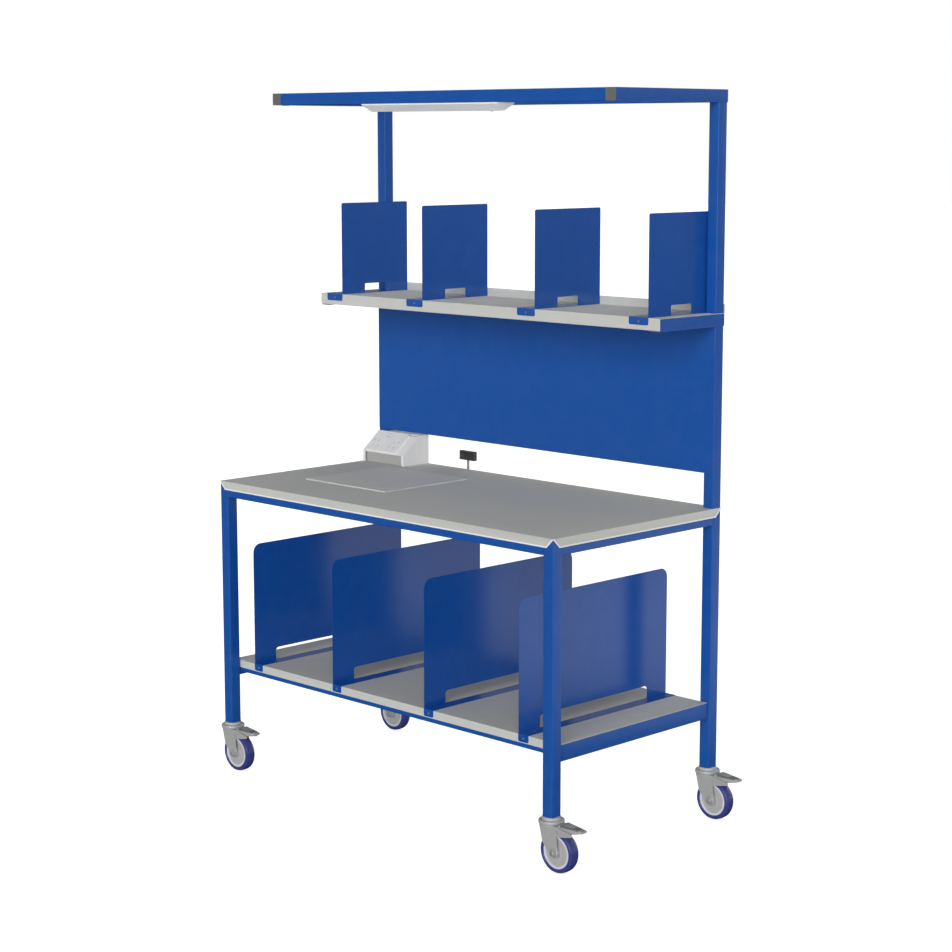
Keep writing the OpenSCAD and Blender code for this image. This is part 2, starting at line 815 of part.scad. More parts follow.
module tab_screw() {
    rotate([-90, 0, 0]) {
        cylinder(h = screw_l, r = screw_r, $fn = corner_steps);
        translate([0, 0, -screw_head_h])
            cylinder(h = screw_head_h, r1 = screw_head_r - screw_head_h / 2, r2 = screw_head_r,
                $fn = corner_steps);
    }
}

module divider_screws() {
    color(dark_grey) on_table() {
        at_lower_screws() tab_screw();
        at_upper_screws() tab_screw();
    }
}

// Scale: a platform on a load cell, in a pan under the worktop

module scale_platform() {
    color(light_grey) on_table()
        translate([scale_x - scale_l / 2, scale_y - scale_w / 2, platform_top - scale_rim_h])
            difference() {
                cube([scale_l, scale_w, scale_rim_h]);
                translate([scale_sheet, scale_sheet, -over])
                    cube([scale_l - 2 * scale_sheet, scale_w - 2 * scale_sheet,
                        scale_rim_h - scale_sheet + over]);
            }
}

module scale_pan() {
    color(sheet_grey) on_table() translate([scale_x, scale_y, pan_floor_z]) difference() {
        union() {
            translate([-pan_l / 2, -pan_w / 2, 0]) cube([pan_l, pan_w, pan_h]);
            translate([-pan_l / 2 - pan_flange, -pan_w / 2 - pan_flange, pan_h - worktop_sheet])
                cube([pan_l + 2 * pan_flange, pan_w + 2 * pan_flange, worktop_sheet]);
        }
        translate([-scale_hole_l / 2, -scale_hole_w / 2, worktop_sheet])
            cube([scale_hole_l, scale_hole_w, pan_h]);
    }
}

// The bar hangs free between a pad under one end and a pad over the other
module scale_load_cell() {
    floor_z = pan_floor_z + worktop_sheet;
    color(zinc_grey) on_table() translate([scale_x - cell_l / 2, scale_y - cell_w / 2, floor_z]) {
        cube([cell_pad_l, cell_w, cell_pad_h]);
        translate([0, 0, cell_pad_h]) difference() {
            cube([cell_l, cell_w, cell_h]);
            for (place = [cell_l / 2 - cell_h / 2, cell_l / 2 + cell_h / 2])
                translate([place, -over, cell_h / 2]) rotate([-90, 0, 0])
                    cylinder(h = cell_w + 2 * over, r = cell_h / 3, $fn = round_steps);
        }
        translate([cell_l - cell_pad_l, 0, cell_pad_h + cell_h])
            cube([cell_pad_l, cell_w, cell_pad_h]);
    }
}

// Weight display

module display_pole() {
    bracket_y = worktop_w / 2;
    color(dark_grey) on_table() translate([display_x, 0, 0]) {
        translate([0, pole_y, pole_bottom])
            cylinder(h = pole_top - pole_bottom, r = pole_r, $fn = round_steps);
        translate([-bracket_w / 2, bracket_y, pole_bottom])
            cube([bracket_w, bracket_t, bracket_h]);
        translate([-pole_r, bracket_y + bracket_t, pole_bottom])
            cube([2 * pole_r, pole_y - bracket_y - bracket_t, bracket_h]);
    }
}

module display_head() {
    color(dark_grey) on_table() translate([display_x, pole_y, worktop_h + display_z]) difference() {
        translate([0, -display_t / 2, display_h / 2])
            along_y(display_t) rounded_rect(display_w, display_h, display_r);
        translate([0, 0, -over])
            cylinder(h = pole_seat + over + free_play, r = pole_r + pin_play, $fn = round_steps);
        translate([0, -display_t / 2 - over, display_h / 2]) along_y(over + display_recess)
            square([display_w - 2 * display_border, display_h - 2 * display_border], center = true);
    }
}

// Power socket: a folded console on the worktop, around the left mast's foot

// The console's frame has its front edge and the worktop's surface at zero
module at_console() {
    translate([table_x + console_x, console_y, worktop_h]) children();
}

// The slope's frame has its middle at zero, Y up the slope and Z out of it
module on_slope() {
    at_console() translate([0, slope_w / 2, console_front_h + slope_h / 2])
        rotate([slope_angle, 0, 0]) children();
}

module on_plate() {
    on_slope() translate([-plate_shift, 0, 0]) children();
}

// Side view of the console in Y and Z
module console_side() {
    polygon([
        [0, 0],
        [0, console_front_h],
        [slope_w, console_h],
        [console_w, console_h],
        [console_w, 0]
    ]);
}

// The same without the recess under the slope's front edge
module console_inside() {
    difference() {
        console_side();
        translate([-over, -over])
            square([console_recess + over, console_front_h - console_sheet + over]);
    }
}

// The folded front, slope and top, open to the rear and to the worktop
module console_skin() {
    difference() {
        console_inside();
        offset(delta = -console_sheet) console_inside();
        translate([console_recess + console_sheet, -over])
            square([console_w, console_sheet + over]);
        translate([slope_w, -over]) square([console_w, console_h - console_sheet + over]);
    }
}

module socket_console() {
    mast_gap = tube_w + 2 * free_play;
    mast_y = inner_y - free_play - console_y;
    slot_x = console_l / 2 - console_sheet - cable_slot_l / 2 - cable_slot_h;
    slot_y = slope_w / cos(slope_angle) / 2 - 2 * cable_slot_h;
    color(light_grey) difference() {
        at_console() {
            for (cheek_x = [-console_l / 2, console_l / 2 - console_sheet])
                translate([cheek_x, 0, 0]) along_x(console_sheet) console_side();
            translate([console_sheet - console_l / 2, 0, 0])
                along_x(console_l - 2 * console_sheet) console_skin();
            for (fold_x = [-console_l / 2, console_l / 2 - console_fold])
                translate([fold_x, 0, 0]) cube([console_fold, console_sheet, console_front_h]);
        }
        at_console() translate([console_sheet - console_l / 2, mast_y, console_recess])
            cube([mast_gap, console_w, console_h]);
        on_slope() for (side = both) translate([side * slot_x, slot_y, 0])
            cube([cable_slot_l, cable_slot_h, 2 * console_recess], center = true);
        on_plate() cube([plate_w - 2 * plate_t, plate_h - 2 * plate_t, 2 * plate_t], center = true);
    }
}

// The pocket of a rocker and the bores of its pin go right through the plate
module socket_plate() {
    pocket_h = 2 * (norm([rocker_h / 2, rocker_top]) + free_play);
    color(light_grey) on_plate() difference() {
        linear_extrude(plate_t) rounded_rect(plate_w, plate_h, plate_r);
        for (side = both) {
            translate([side * rocker_gap / 2, rocker_rise, plate_t / 2]) {
                cube([rocker_w + 2 * free_play, pocket_h, plate_t + 2 * over], center = true);
                rotate([0, 90, 0]) cylinder(h = rocker_pin_l + 2 * free_play,
                    r = rocker_pin_r + pin_play, center = true, $fn = corner_steps);
            }
            translate([side * outlet_gap / 2, -pin_drop, plate_t]) outlet_slots();
        }
    }
}

// Shuttered slots of one outlet, cut down from zero
module outlet_slots() {
    for (side = both)
        translate([side * pin_gap / 2, 0, 0])
            cube([pin_l, pin_w, 2 * pin_depth], center = true);
    translate([0, earth_rise, 0]) cube([pin_w, earth_l, 2 * pin_depth], center = true);
}

// A rocker is a shallow V on a pin, tilted to its off side
module rocker(side) {
    color(light_grey) on_plate()
        translate([side * rocker_gap / 2, rocker_rise, plate_t / 2])
            rotate([-rocker_tilt / 2, 0, 0]) {
                translate([-rocker_w / 2, 0, 0]) along_x(rocker_w) polygon([
                    [-rocker_h / 2, -rocker_top / 2],
                    [rocker_h / 2, -rocker_top / 2],
                    [rocker_h / 2, rocker_top],
                    [0, rocker_top - rocker_dip],
                    [-rocker_h / 2, rocker_top]
                ]);
                rotate([0, 90, 0]) cylinder(h = rocker_pin_l, r = rocker_pin_r, center = true,
                    $fn = corner_steps);
            }
}

// Lamp

module on_lamp() {
    translate([table_x, beam_y, lamp_z]) children();
}

// Section of the lamp in Y and Z, its top at zero
module lamp_section() {
    polygon([
        [-lamp_w / 2, 0],
        [lamp_w / 2, 0],
        [lamp_w / 2, -lamp_edge_h],
        [lamp_bottom_w / 2, -lamp_h],
        [-lamp_bottom_w / 2, -lamp_h],
        [-lamp_w / 2, -lamp_edge_h]
    ]);
}

// Front view of the lamp in X and Z, whose ends lean in, less an inset
module lamp_front(inset) {
    half = lamp_l / 2 - inset;
    polygon([[-half, 0], [half, 0], [half - lamp_lean, -lamp_h], [lamp_lean - half, -lamp_h]]);
}

module between_ends() {
    translate([0, -lamp_w / 2, 0]) along_y(lamp_w) lamp_front(lamp_end_t);
}

module lamp_tray() {
    color(light_grey) on_lamp() {
        intersection() {
            translate([-lamp_l / 2, 0, 0]) along_x(lamp_l) difference() {
                translate([-lamp_w / 2, -lamp_edge_h]) square([lamp_w, lamp_edge_h]);
                translate([lamp_wall - lamp_w / 2, -lamp_edge_h - over])
                    square([lamp_w - 2 * lamp_wall, lamp_edge_h + over - lamp_wall]);
            }
            between_ends();
        }
        intersection() {
            translate([-lamp_l / 2, 0, 0]) along_x(lamp_l) lamp_section();
            translate([0, -lamp_w / 2, 0]) along_y(lamp_w) difference() {
                lamp_front(0);
                lamp_front(lamp_end_t);
            }
        }
    }
}

module lamp_cover() {
    color(light_grey) on_lamp() difference() {
        intersection() {
            translate([-lamp_l / 2, 0, 0]) along_x(lamp_l) difference() {
                lamp_section();
                offset(delta = -lamp_wall) lamp_section();
                translate([-lamp_w, -lamp_edge_h]) square([2 * lamp_w, lamp_edge_h + over]);
            }
            between_ends();
        }
        translate([lamp_switch_x, 0, -lamp_h - over])
            cylinder(h = lamp_wall + 2 * over, r = lamp_switch_r + free_play, $fn = corner_steps);
    }
}

module lamp_board() {
    color(sheet_grey) on_lamp()
        translate([-lamp_board_l / 2, -lamp_board_w / 2, -lamp_wall - lamp_board_t])
            cube([lamp_board_l, lamp_board_w, lamp_board_t]);
}

// The button's flange stays behind the cover and leaves room for its travel
module lamp_switch() {
    stem_l = lamp_wall + free_play + 2 * lamp_switch_travel;
    color(light_grey) on_lamp() translate([lamp_switch_x, 0, -lamp_h]) {
        translate([0, 0, lamp_wall + free_play - stem_l])
            cylinder(h = stem_l, r = lamp_switch_r, $fn = corner_steps);
        translate([0, 0, lamp_wall + free_play])
            cylinder(h = lamp_wall, r = lamp_switch_r + lamp_wall, $fn = corner_steps);
    }
}

// Castors: each is drawn around its swivel's axis, with its wheel trailing along +X

// The head is a round-rimmed disc with the stem above it and the kingpin below
module castor_heads() {
    rim_r = head_h / 2;
    pin_end = crown_bottom - race_gap - kingpin_head_h;
    color(zinc_grey) at_every_leg() {
        translate([0, 0, head_bottom]) rotate_extrude($fn = round_steps) {
            square([head_r - rim_r, head_h]);
            translate([head_r - rim_r, rim_r]) intersection() {
                circle(rim_r, $fn = corner_steps);
                translate([0, -rim_r]) square(head_h);
            }
        }
        translate([0, 0, pin_end])
            cylinder(h = leg_foot_h + leg_plug_h - pin_end, r = kingpin_r, $fn = round_steps);
        translate([0, 0, pin_end])
            cylinder(h = kingpin_head_h, r = kingpin_head_r, $fn = round_steps);
    }
}

// A collar under each leg, with its plug up inside the tube
module castor_collars() {
    plug_w = tube_w - 2 * tube_wall - 2 * plug_play;
    color(light_grey) at_every_leg() difference() {
        union() {
            translate([0, 0, castor_h]) cylinder(h = collar_h, r = collar_r, $fn = round_steps);
            translate([0, 0, leg_foot_h]) linear_extrude(leg_plug_h) square(plug_w, center = true);
        }
        translate([0, 0, castor_h - over])
            cylinder(h = collar_h + leg_plug_h + 2 * over, r = kingpin_r + pin_play,
                $fn = round_steps);
    }
}

// Side view of the fork in X and Z: the cheek, its straight rear edge and the wing
module fork_outline() {
    hull() {
        translate([-fork_front, crown_bottom]) square([fork_front + fork_back, crown_t]);
        translate([fork_t - fork_waist, wheel_r + fork_waist_h]) circle(fork_t, $fn = corner_steps);
        translate([castor_trail, wheel_r]) circle(fork_end_r, $fn = corner_steps);
        translate([fork_rear - fork_t, wheel_r + fork_end_r + fork_t])
            circle(fork_t, $fn = corner_steps);
    }
    translate([0, wheel_r + fork_end_r + fork_t])
        square([fork_rear, wing_root_rise - fork_end_r]);
    hull() {
        translate([0, wheel_r + wing_root_rise])
            square([fork_rear, crown_top - wheel_r - wing_root_rise]);
        translate([wing_reach - wing_tip_r, wheel_r + wing_tip_rise])
            circle(wing_tip_r, $fn = corner_steps);
    }
}

// What is open between the fork's plates: all below the front web and all behind the crown
module fork_inside() {
    offset(delta = -fork_t) fork_outline();
    translate([-fork_front - over, 0])
        square([fork_front + wing_reach, crown_bottom - fork_web_h]);
    translate([fork_back, 0]) square([wing_reach, castor_h]);
}

module fork(side, end) {
    color(zinc_grey) at_leg(side, end) difference() {
        union() {
            difference() {
                translate([0, -fork_face_y, 0]) along_y(2 * fork_face_y) fork_outline();
                translate([0, -fork_gap / 2, 0]) along_y(fork_gap) fork_inside();
            }
            translate([0, 0, crown_bottom])
                cylinder(h = crown_t, r = head_r - fork_t, $fn = round_steps);
        }
        translate([0, 0, crown_bottom - over])
            cylinder(h = crown_t + 2 * over, r = kingpin_r + pin_play, $fn = round_steps);
        translate([castor_trail, 0, wheel_r]) cross_pin(fork_face_y + over, axle_r + pin_play);
        translate([pivot_x, 0, pivot_h]) cross_pin(fork_face_y + over, pivot_r + pin_play);
    }
}

// A round pin along Y, centred on its middle
module cross_pin(half_l, radius) {
    rotate([90, 0, 0]) cylinder(h = 2 * half_l, r = radius, center = true, $fn = round_steps);
}

module axle(side, end) {
    color(zinc_grey) at_leg(side, end) translate([castor_trail, 0, wheel_r]) {
        cross_pin(axle_face_y + axle_head_h / 2, axle_r);
        for (face = both) {
            translate([0, face * (axle_face_y - washer_t / 2), 0])
                cross_pin(washer_t / 2, washer_r);
            translate([0, face * (axle_face_y + axle_head_h / 2), 0]) rotate([90, 0, 0])
                cylinder(h = axle_head_h, r = axle_head_w / 2, center = true, $fn = 6);
        }
    }
}

module at_axle(side, end) {
    at_leg(side, end) translate([castor_trail, 0, wheel_r]) rotate([90, 0, 0]) children();
}

module wheel_core(side, end) {
    hub_w = fork_gap - 2 * free_play;
    web_w = core_w - 2 * core_dish;
    bore_r = axle_r + pin_play;
    color(light_grey) at_axle(side, end) rotate_extrude($fn = round_steps) {
        translate([bore_r, -hub_w / 2]) square([hub_r - bore_r, hub_w]);
        translate([bore_r, -web_w / 2]) square([core_r - bore_r, web_w]);
        translate([core_r - rim_w, -core_w / 2]) square([rim_w, core_w]);
    }
}

// The tyre's tread is rounded into its sides
module tyre(side, end) {
    color(tyre_blue) at_axle(side, end) rotate_extrude($fn = round_steps)
        translate([core_r, 0]) intersection() {
            rounded_rect(2 * tyre_t, wheel_w, tyre_t / 2);
            translate([0, -wheel_w / 2]) square([tyre_t, wheel_w]);
        }
}

// Brake pedals: a tapered channel on a pivot pin between the fork's wings, with a shoe over the tyre

// Side view of the pedal in X and Z
module pedal_side() {
    hull() {
        translate([pivot_x, pivot_h]) circle(lug_r, $fn = corner_steps);
        polygon([
            [pedal_root, pivot_h + pedal_root_h],
            [pedal_reach, pivot_h + pedal_tip_h],
            [pedal_reach, pivot_h + pedal_tip_h - pedal_tip_t]
        ]);
    }
}

// Plan of the pedal in X and Y
module pedal_plan() {
    polygon([
        [0, -lug_w / 2],
        [pedal_root, -lug_w / 2],
        [pedal_reach, -pedal_tip_w / 2],
        [pedal_reach, pedal_tip_w / 2],
        [pedal_root, lug_w / 2],
        [0, lug_w / 2]
    ]);
}

// The space under the tread, between the sides
module pedal_inside() {
    intersection() {
        linear_extrude(castor_h) translate([-pedal_wall, 0]) offset(delta = -pedal_wall) union() {
            pedal_plan();
            translate([-pedal_root, -lug_w / 2]) square([pedal_root, lug_w]);
        }
        translate([0, -lug_w, 0]) along_y(2 * lug_w) polygon([
            [0, 0],
            [0, tread_h(0) - pedal_wall],
            [pedal_reach, tread_h(pedal_reach) - pedal_wall],
            [pedal_reach, 0]
        ]);
    }
}

// Height of the tread's surface at a distance behind the swivel
function tread_h(place) = pivot_h + pedal_root_h
    - (pedal_root_h - pedal_tip_h) * (place - pedal_root) / (pedal_reach - pedal_root);

// The tyre as the pressed pedal meets it, turned back by the pedal's travel
module pressed_tyre() {
    translate([pivot_x, 0, pivot_h]) rotate([0, -brake_travel, 0])
        translate([castor_trail - pivot_x, 0, -pivot_rise])
            cross_pin(wheel_w, wheel_r + shoe_gap);
}

module pedal_channel() {
    difference() {
        intersection() {
            linear_extrude(castor_h) pedal_plan();
            translate([0, -lug_w, 0]) along_y(2 * lug_w) pedal_side();
        }
        pedal_inside();
    }
}

// The tyre is also cut out of the sides behind the lugs, where they come in over it
module brake_pedal(side, end) {
    shoe_x = pivot_x + lug_r + shoe_gap;
    tongue_w = pedal_tip_w / 2;
    rivet_start = lug_w / 2 - pedal_wall;
    rivet_end = fork_face_y + free_play + pedal_wall;
    color(zinc_grey) at_leg(side, end) {
        difference() {
            union() {
                pedal_channel();
                translate([shoe_x, -pedal_tip_w / 2, pivot_h - pedal_root_h])
                    cube([shoe_l, pedal_tip_w, 2 * pedal_root_h - pedal_wall]);
            }
            intersection() {
                pressed_tyre();
                translate([shoe_x, -lug_w, 0]) cube([pedal_reach, 2 * lug_w, castor_h]);
            }
        }
        translate([pedal_reach - pedal_wall, -tongue_w / 2, tread_h(pedal_reach) - pedal_wall])
            cube([tongue_l + pedal_wall, tongue_w, pedal_wall]);
        for (rib = [1 : tread_ribs])
            tread_rib_at(pedal_reach - rib * (pedal_reach - pedal_root) / (2 * tread_ribs));
        for (face = both) translate([pivot_x, 0, pivot_h]) {
            translate([0, face * (rivet_end + rivet_start) / 2, 0])
                cross_pin((rivet_end - rivet_start) / 2, pivot_r);
            translate([0, face * (rivet_end - pedal_wall / 2), 0])
                cross_pin(pedal_wall / 2, pivot_r + pedal_wall);
        }
    }
}

// A rib across the tread, half sunk in it
module tread_rib_at(place) {
    translate([place, 0, tread_h(place)])
        cube([tread_rib, pedal_tip_w - tread_rib, tread_rib], center = true);
}

leg(left, front);  // leg_front_left
leg(right, front);  // leg_front_right
leg(left, rear);  // leg_rear_left
leg(right, rear);  // leg_rear_right
top_rails();
shelf_frame();
shelf_mast(left);  // shelf_mast_left
shelf_mast(right);  // shelf_mast_right
canopy_mast(left);  // canopy_mast_left
canopy_mast(right);  // canopy_mast_right
canopy_beam();
worktop();
lower_shelf();
upper_shelf();
back_panel();
lower_divider(1);  // lower_divider_1
lower_divider(2);  // lower_divider_2
lower_divider(3);  // lower_divider_3
lower_divider(4);  // lower_divider_4
upper_divider(1);  // upper_divider_1
upper_divider(2);  // upper_divider_2
upper_divider(3);  // upper_divider_3
upper_divider(4);  // upper_divider_4
divider_screws();
scale_platform();
scale_pan();
scale_load_cell();
display_pole();
display_head();
lamp_tray();
lamp_cover();
lamp_board();
lamp_switch();
socket_console();
socket_plate();
rocker(left);  // rocker_left
rocker(right);  // rocker_right
tube_end_caps();
castor_collars();
castor_heads();
fork(left, front);  // fork_front_left
wheel_core(left, front);  // wheel_core_front_left
tyre(left, front);  // tyre_front_left
axle(left, front);  // axle_front_left
brake_pedal(left, front);  // brake_pedal_front_left
fork(right, front);  // fork_front_right
wheel_core(right, front);  // wheel_core_front_right
tyre(right, front);  // tyre_front_right
axle(right, front);  // axle_front_right
brake_pedal(right, front);  // brake_pedal_front_right
fork(left, rear);  // fork_rear_left
wheel_core(left, rear);  // wheel_core_rear_left
tyre(left, rear);  // tyre_rear_left
axle(left, rear);  // axle_rear_left
brake_pedal(left, rear);  // brake_pedal_rear_left
fork(right, rear);  // fork_rear_right
wheel_core(right, rear);  // wheel_core_rear_right
tyre(right, rear);  // tyre_rear_right
axle(right, rear);  // axle_rear_right
brake_pedal(right, rear);  // brake_pedal_rear_right
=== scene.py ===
"""Finishes for the mobile packing table.

Rounded sheet and tube edges, the worktop's hem, welds, the canopy's rear beam, castor, socket,
display and lamp details, the floor, the lights and the camera. Lengths are in metres, and MM turns
millimetres into them.
"""
from dataclasses import dataclass, field
from enum import Enum
import json
import logging
import math
from typing import Callable, Iterable, Sequence

import bmesh
import bpy
from bpy.types import Material, Mesh, Node, NodeSocket, NodeTree, Object
import numpy as np
from numpy.typing import NDArray
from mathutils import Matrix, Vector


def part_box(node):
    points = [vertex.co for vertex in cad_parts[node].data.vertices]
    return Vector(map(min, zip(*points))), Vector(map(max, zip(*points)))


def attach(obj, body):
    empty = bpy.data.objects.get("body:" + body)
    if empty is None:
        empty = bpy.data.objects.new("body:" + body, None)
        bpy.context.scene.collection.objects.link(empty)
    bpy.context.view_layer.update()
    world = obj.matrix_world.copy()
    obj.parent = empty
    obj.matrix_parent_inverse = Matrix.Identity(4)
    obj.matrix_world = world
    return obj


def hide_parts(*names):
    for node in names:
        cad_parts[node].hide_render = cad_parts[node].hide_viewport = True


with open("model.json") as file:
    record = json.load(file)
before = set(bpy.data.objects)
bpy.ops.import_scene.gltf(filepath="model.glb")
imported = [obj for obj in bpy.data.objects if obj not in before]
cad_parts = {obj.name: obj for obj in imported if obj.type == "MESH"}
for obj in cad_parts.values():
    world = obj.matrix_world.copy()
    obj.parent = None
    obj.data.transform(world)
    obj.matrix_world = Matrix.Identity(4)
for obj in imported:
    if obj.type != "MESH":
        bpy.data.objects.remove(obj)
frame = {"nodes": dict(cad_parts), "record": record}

log = logging.getLogger("packing_table")
Array = NDArray[np.float64]
Span = tuple[Array, Array]
Pair = tuple[float, float]
Triple = tuple[float, float, float]
Colour = Triple
MM = 0.001
PEEL_DEPTH = 0.4 * MM
GRAIN_DEPTH = 0.1 * MM
BRUSH_DEPTH = 0.05 * MM
WELD_STEP = 1.2 * MM
WELD_PITCH = 2.6 * MM
SAME_POINT = 1e-6
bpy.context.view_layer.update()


class End(Enum):
    """The front and the rear of the table, as signs along Y."""

    FRONT = -1
    REAR = 1


class Side(Enum):
    """The left and the right of the table, as signs along X."""

    LEFT = -1
    RIGHT = 1


# Corners of the table, named as the CAD nodes name them, such as front_left
CORNERS = [f"{end.name.lower()}_{side.name.lower()}" for end in End for side in Side]


# Shader node groups

def new_group(name: str, inputs: dict[str, object], outputs: Sequence[str]) -> NodeTree:
    """Start a shader node group.

    Args:
        name: The group's name.
        inputs: Each input's name with its default: a float, or a tuple for a colour.
        outputs: Each output's name, where one that holds Colour is a colour.

    Returns:
        The group, with its Group Input and Group Output nodes named in and out.
    """
    group = bpy.data.node_groups.new(name, "ShaderNodeTree")
    for label, value in inputs.items():
        kind = "NodeSocketColor" if isinstance(value, tuple) else "NodeSocketFloat"
        socket = group.interface.new_socket(label, in_out="INPUT", socket_type=kind)
        socket.default_value = (*value, 1.0) if isinstance(value, tuple) else value
    for label in outputs:
        kind = "NodeSocketColor" if "Colour" in label else "NodeSocketFloat"
        group.interface.new_socket(label, in_out="OUTPUT", socket_type=kind)
    group.nodes.new("NodeGroupInput").name = "in"
    group.nodes.new("NodeGroupOutput").name = "out"
    return group


def add(tree: NodeTree, kind: str, **settings: object) -> Node:
    """Add a node to a tree.

    Args:
        tree: The tree.
        kind: The node's type.
        settings: Properties of the node, and defaults of its inputs by name with _ for a space.

    Returns:
        The node.
    """
    node = tree.nodes.new(kind)
    for label, value in settings.items():
        if hasattr(node, label):
            setattr(node, label, value)
        else:
            node.inputs[label.replace("_", " ")].default_value = value
    return node


def feed(tree: NodeTree, sockets: Iterable[NodeSocket], values: Sequence[object]) -> None:
    """Link each value that is a socket to its input, and set each other one as the input's own."""
    for socket, value in zip(sockets, values):
        if isinstance(value, NodeSocket):
            tree.links.new(value, socket)
        else:
            socket.default_value = value


def combine(tree: NodeTree, operation: str, *values: object) -> NodeSocket:
    """Combine sockets or numbers by a Math node and return the result's socket."""
    node = add(tree, "ShaderNodeMath", operation=operation)
    feed(tree, node.inputs, values)
    return node.outputs[0]


def noise(tree: NodeTree, scale: float, detail: float, stretch: Triple = (1, 1, 1)) -> NodeSocket:
    """Add noise on Object coordinates, stretched along the axes by the given factors."""
    place = add(tree, "ShaderNodeTexCoord")
    turn = add(tree, "ShaderNodeMapping")
    turn.inputs["Scale"].default_value = stretch
    grain = add(tree, "ShaderNodeTexNoise", Scale=scale, Detail=detail)
    tree.links.new(place.outputs["Object"], turn.inputs["Vector"])
    tree.links.new(turn.outputs["Vector"], grain.inputs["Vector"])
    return grain.outputs["Fac"]


def ramp(tree: NodeTree, source: NodeSocket, span: Pair, to: Pair) -> NodeSocket:
    """Map a value over a span to the two values of to, clamped."""
    node = add(tree, "ShaderNodeMapRange", clamp=True)
    labels = ("Value", "From Min", "From Max", "To Min", "To Max")
    feed(tree, [node.inputs[label] for label in labels], (source, *span, *to))
    return node.outputs["Result"]


def diagonal(tree: NodeTree, place: NodeSocket, span: Pair, to: Pair) -> NodeSocket:
    """Grow a value between the two values of to as a place's X + Y goes over the span."""
    split = add(tree, "ShaderNodeSeparateXYZ")
    tree.links.new(place, split.inputs[0])
    return ramp(tree, combine(tree, "ADD", split.outputs["X"], split.outputs["Y"]), span, to)


def mix(tree: NodeTree, factor: object, first: object, second: object) -> NodeSocket:
    """Mix two colours by a factor, each a socket or a value."""
    node = add(tree, "ShaderNodeMix", data_type="RGBA")
    feed(tree, (node.inputs[0], node.inputs[6], node.inputs[7]), (factor, first, second))
    return node.outputs[2]


def put_out(group: NodeTree, **sockets: NodeSocket) -> NodeTree:
    """Link sockets to a group's outputs by name and return the group."""
    for label, socket in sockets.items():
        group.links.new(socket, group.nodes["out"].inputs[label])
    return group


def make_edge_group() -> NodeTree:
    """Build the group that lightens worn edges, by the mesh's pointiness broken up by noise."""
    group = new_group("worn edges", {"Paint Colour": (0.5, 0.5, 0.5), "Worn Colour": (1, 1, 1),
                                     "Amount": 0.2}, ["Colour"])
    given = group.nodes["in"].outputs
    shape = add(group, "ShaderNodeNewGeometry")
    edge = ramp(group, shape.outputs["Pointiness"], (0.52, 0.62), (0.0, 1.0))
    patches = ramp(group, noise(group, 22.0, 4.0), (0.42, 0.66), (0.15, 1.0))
    mask = combine(group, "MULTIPLY", combine(group, "MULTIPLY", edge, patches), given["Amount"])
    return put_out(group, Colour=mix(group, mask, given["Paint Colour"], given["Worn Colour"]))


def make_orange_peel_group() -> NodeTree:
    """Build the group that gives powder coat its fine and coarse waviness, as a height."""
    group = new_group("orange peel", {"Fine": 0.4, "Coarse": 0.6}, ["Height"])
    given = group.nodes["in"].outputs
    parts = [combine(group, "MULTIPLY", noise(group, scale, 2.0), given[label])
             for label, scale in (("Fine", 900.0), ("Coarse", 260.0))]
    return put_out(group, Height=combine(group, "ADD", *parts))


def make_handling_group() -> NodeTree:
    """Build the group that varies roughness and colour by smudges and settled dust."""
    group = new_group("handling", {"Base Colour": (0.5, 0.5, 0.5), "Dust Colour": (0.7, 0.69, 0.67),
                                   "Dust": 0.05, "Roughness": 0.4, "Smudge": 0.08},
                      ["Colour", "Roughness"])
    given = group.nodes["in"].outputs
    smudge = ramp(group, noise(group, 5.0, 5.0, (1, 1, 2.2)), (0.3, 0.7), (-0.5, 0.5))
    roughness = combine(group, "MULTIPLY_ADD", smudge, given["Smudge"], given["Roughness"])
    shape = add(group, "ShaderNodeNewGeometry")
    split = add(group, "ShaderNodeSeparateXYZ")
    group.links.new(shape.outputs["Normal"], split.inputs[0])
    upward = ramp(group, split.outputs["Z"], (0.6, 1.0), (0.0, 1.0))
    patches = ramp(group, noise(group, 14.0, 6.0), (0.35, 0.75), (0.2, 1.0))
    dust = combine(group, "MULTIPLY", combine(group, "MULTIPLY", upward, patches), given["Dust"])
    colour = mix(group, dust, given["Base Colour"], given["Dust Colour"])
    return put_out(group, Colour=colour, Roughness=roughness)


def make_brush_group() -> NodeTree:
    """Build the group of fine parallel scratches, as a height."""
    group = new_group("brushing", {"Depth": 1.0}, ["Height"])
    lines = noise(group, 60.0, 8.0, (1.0, 40.0, 40.0))
    depth = group.nodes["in"].outputs["Depth"]
    return put_out(group, Height=combine(group, "MULTIPLY", lines, depth))


def make_spangle_group() -> NodeTree:
    """Build the group of zinc crystals: cells that differ a little in tone."""
    group = new_group("zinc spangle", {"Base Colour": (0.5, 0.5, 0.5), "Tone": 0.12,
                                       "Size": 120.0}, ["Colour"])
    given = group.nodes["in"].outputs
    place = add(group, "ShaderNodeTexCoord")
    cells = add(group, "ShaderNodeTexVoronoi")
    group.links.new(place.outputs["Object"], cells.inputs["Vector"])
    group.links.new(given["Size"], cells.inputs["Scale"])
    grey = add(group, "ShaderNodeSeparateColor")
    group.links.new(cells.outputs["Color"], grey.inputs[0])
    tone = combine(group, "MULTIPLY", grey.outputs[0], given["Tone"])
    return put_out(group, Colour=mix(group, tone, given["Base Colour"], (0.1, 0.1, 0.11, 1.0)))


@dataclass(frozen=True)
class ShaderGroups:
    """The shared shader node groups, each built once.

    Attributes:
        edges: Lightens worn edges.
        peel: Makes the waviness of powder coat.
        handling: Adds smudges and dust.
        brushing: Makes fine scratches.
        spangle: Makes zinc crystals.
    """

    edges: NodeTree = field(default_factory=make_edge_group)
    peel: NodeTree = field(default_factory=make_orange_peel_group)
    handling: NodeTree = field(default_factory=make_handling_group)
    brushing: NodeTree = field(default_factory=make_brush_group)
    spangle: NodeTree = field(default_factory=make_spangle_group)


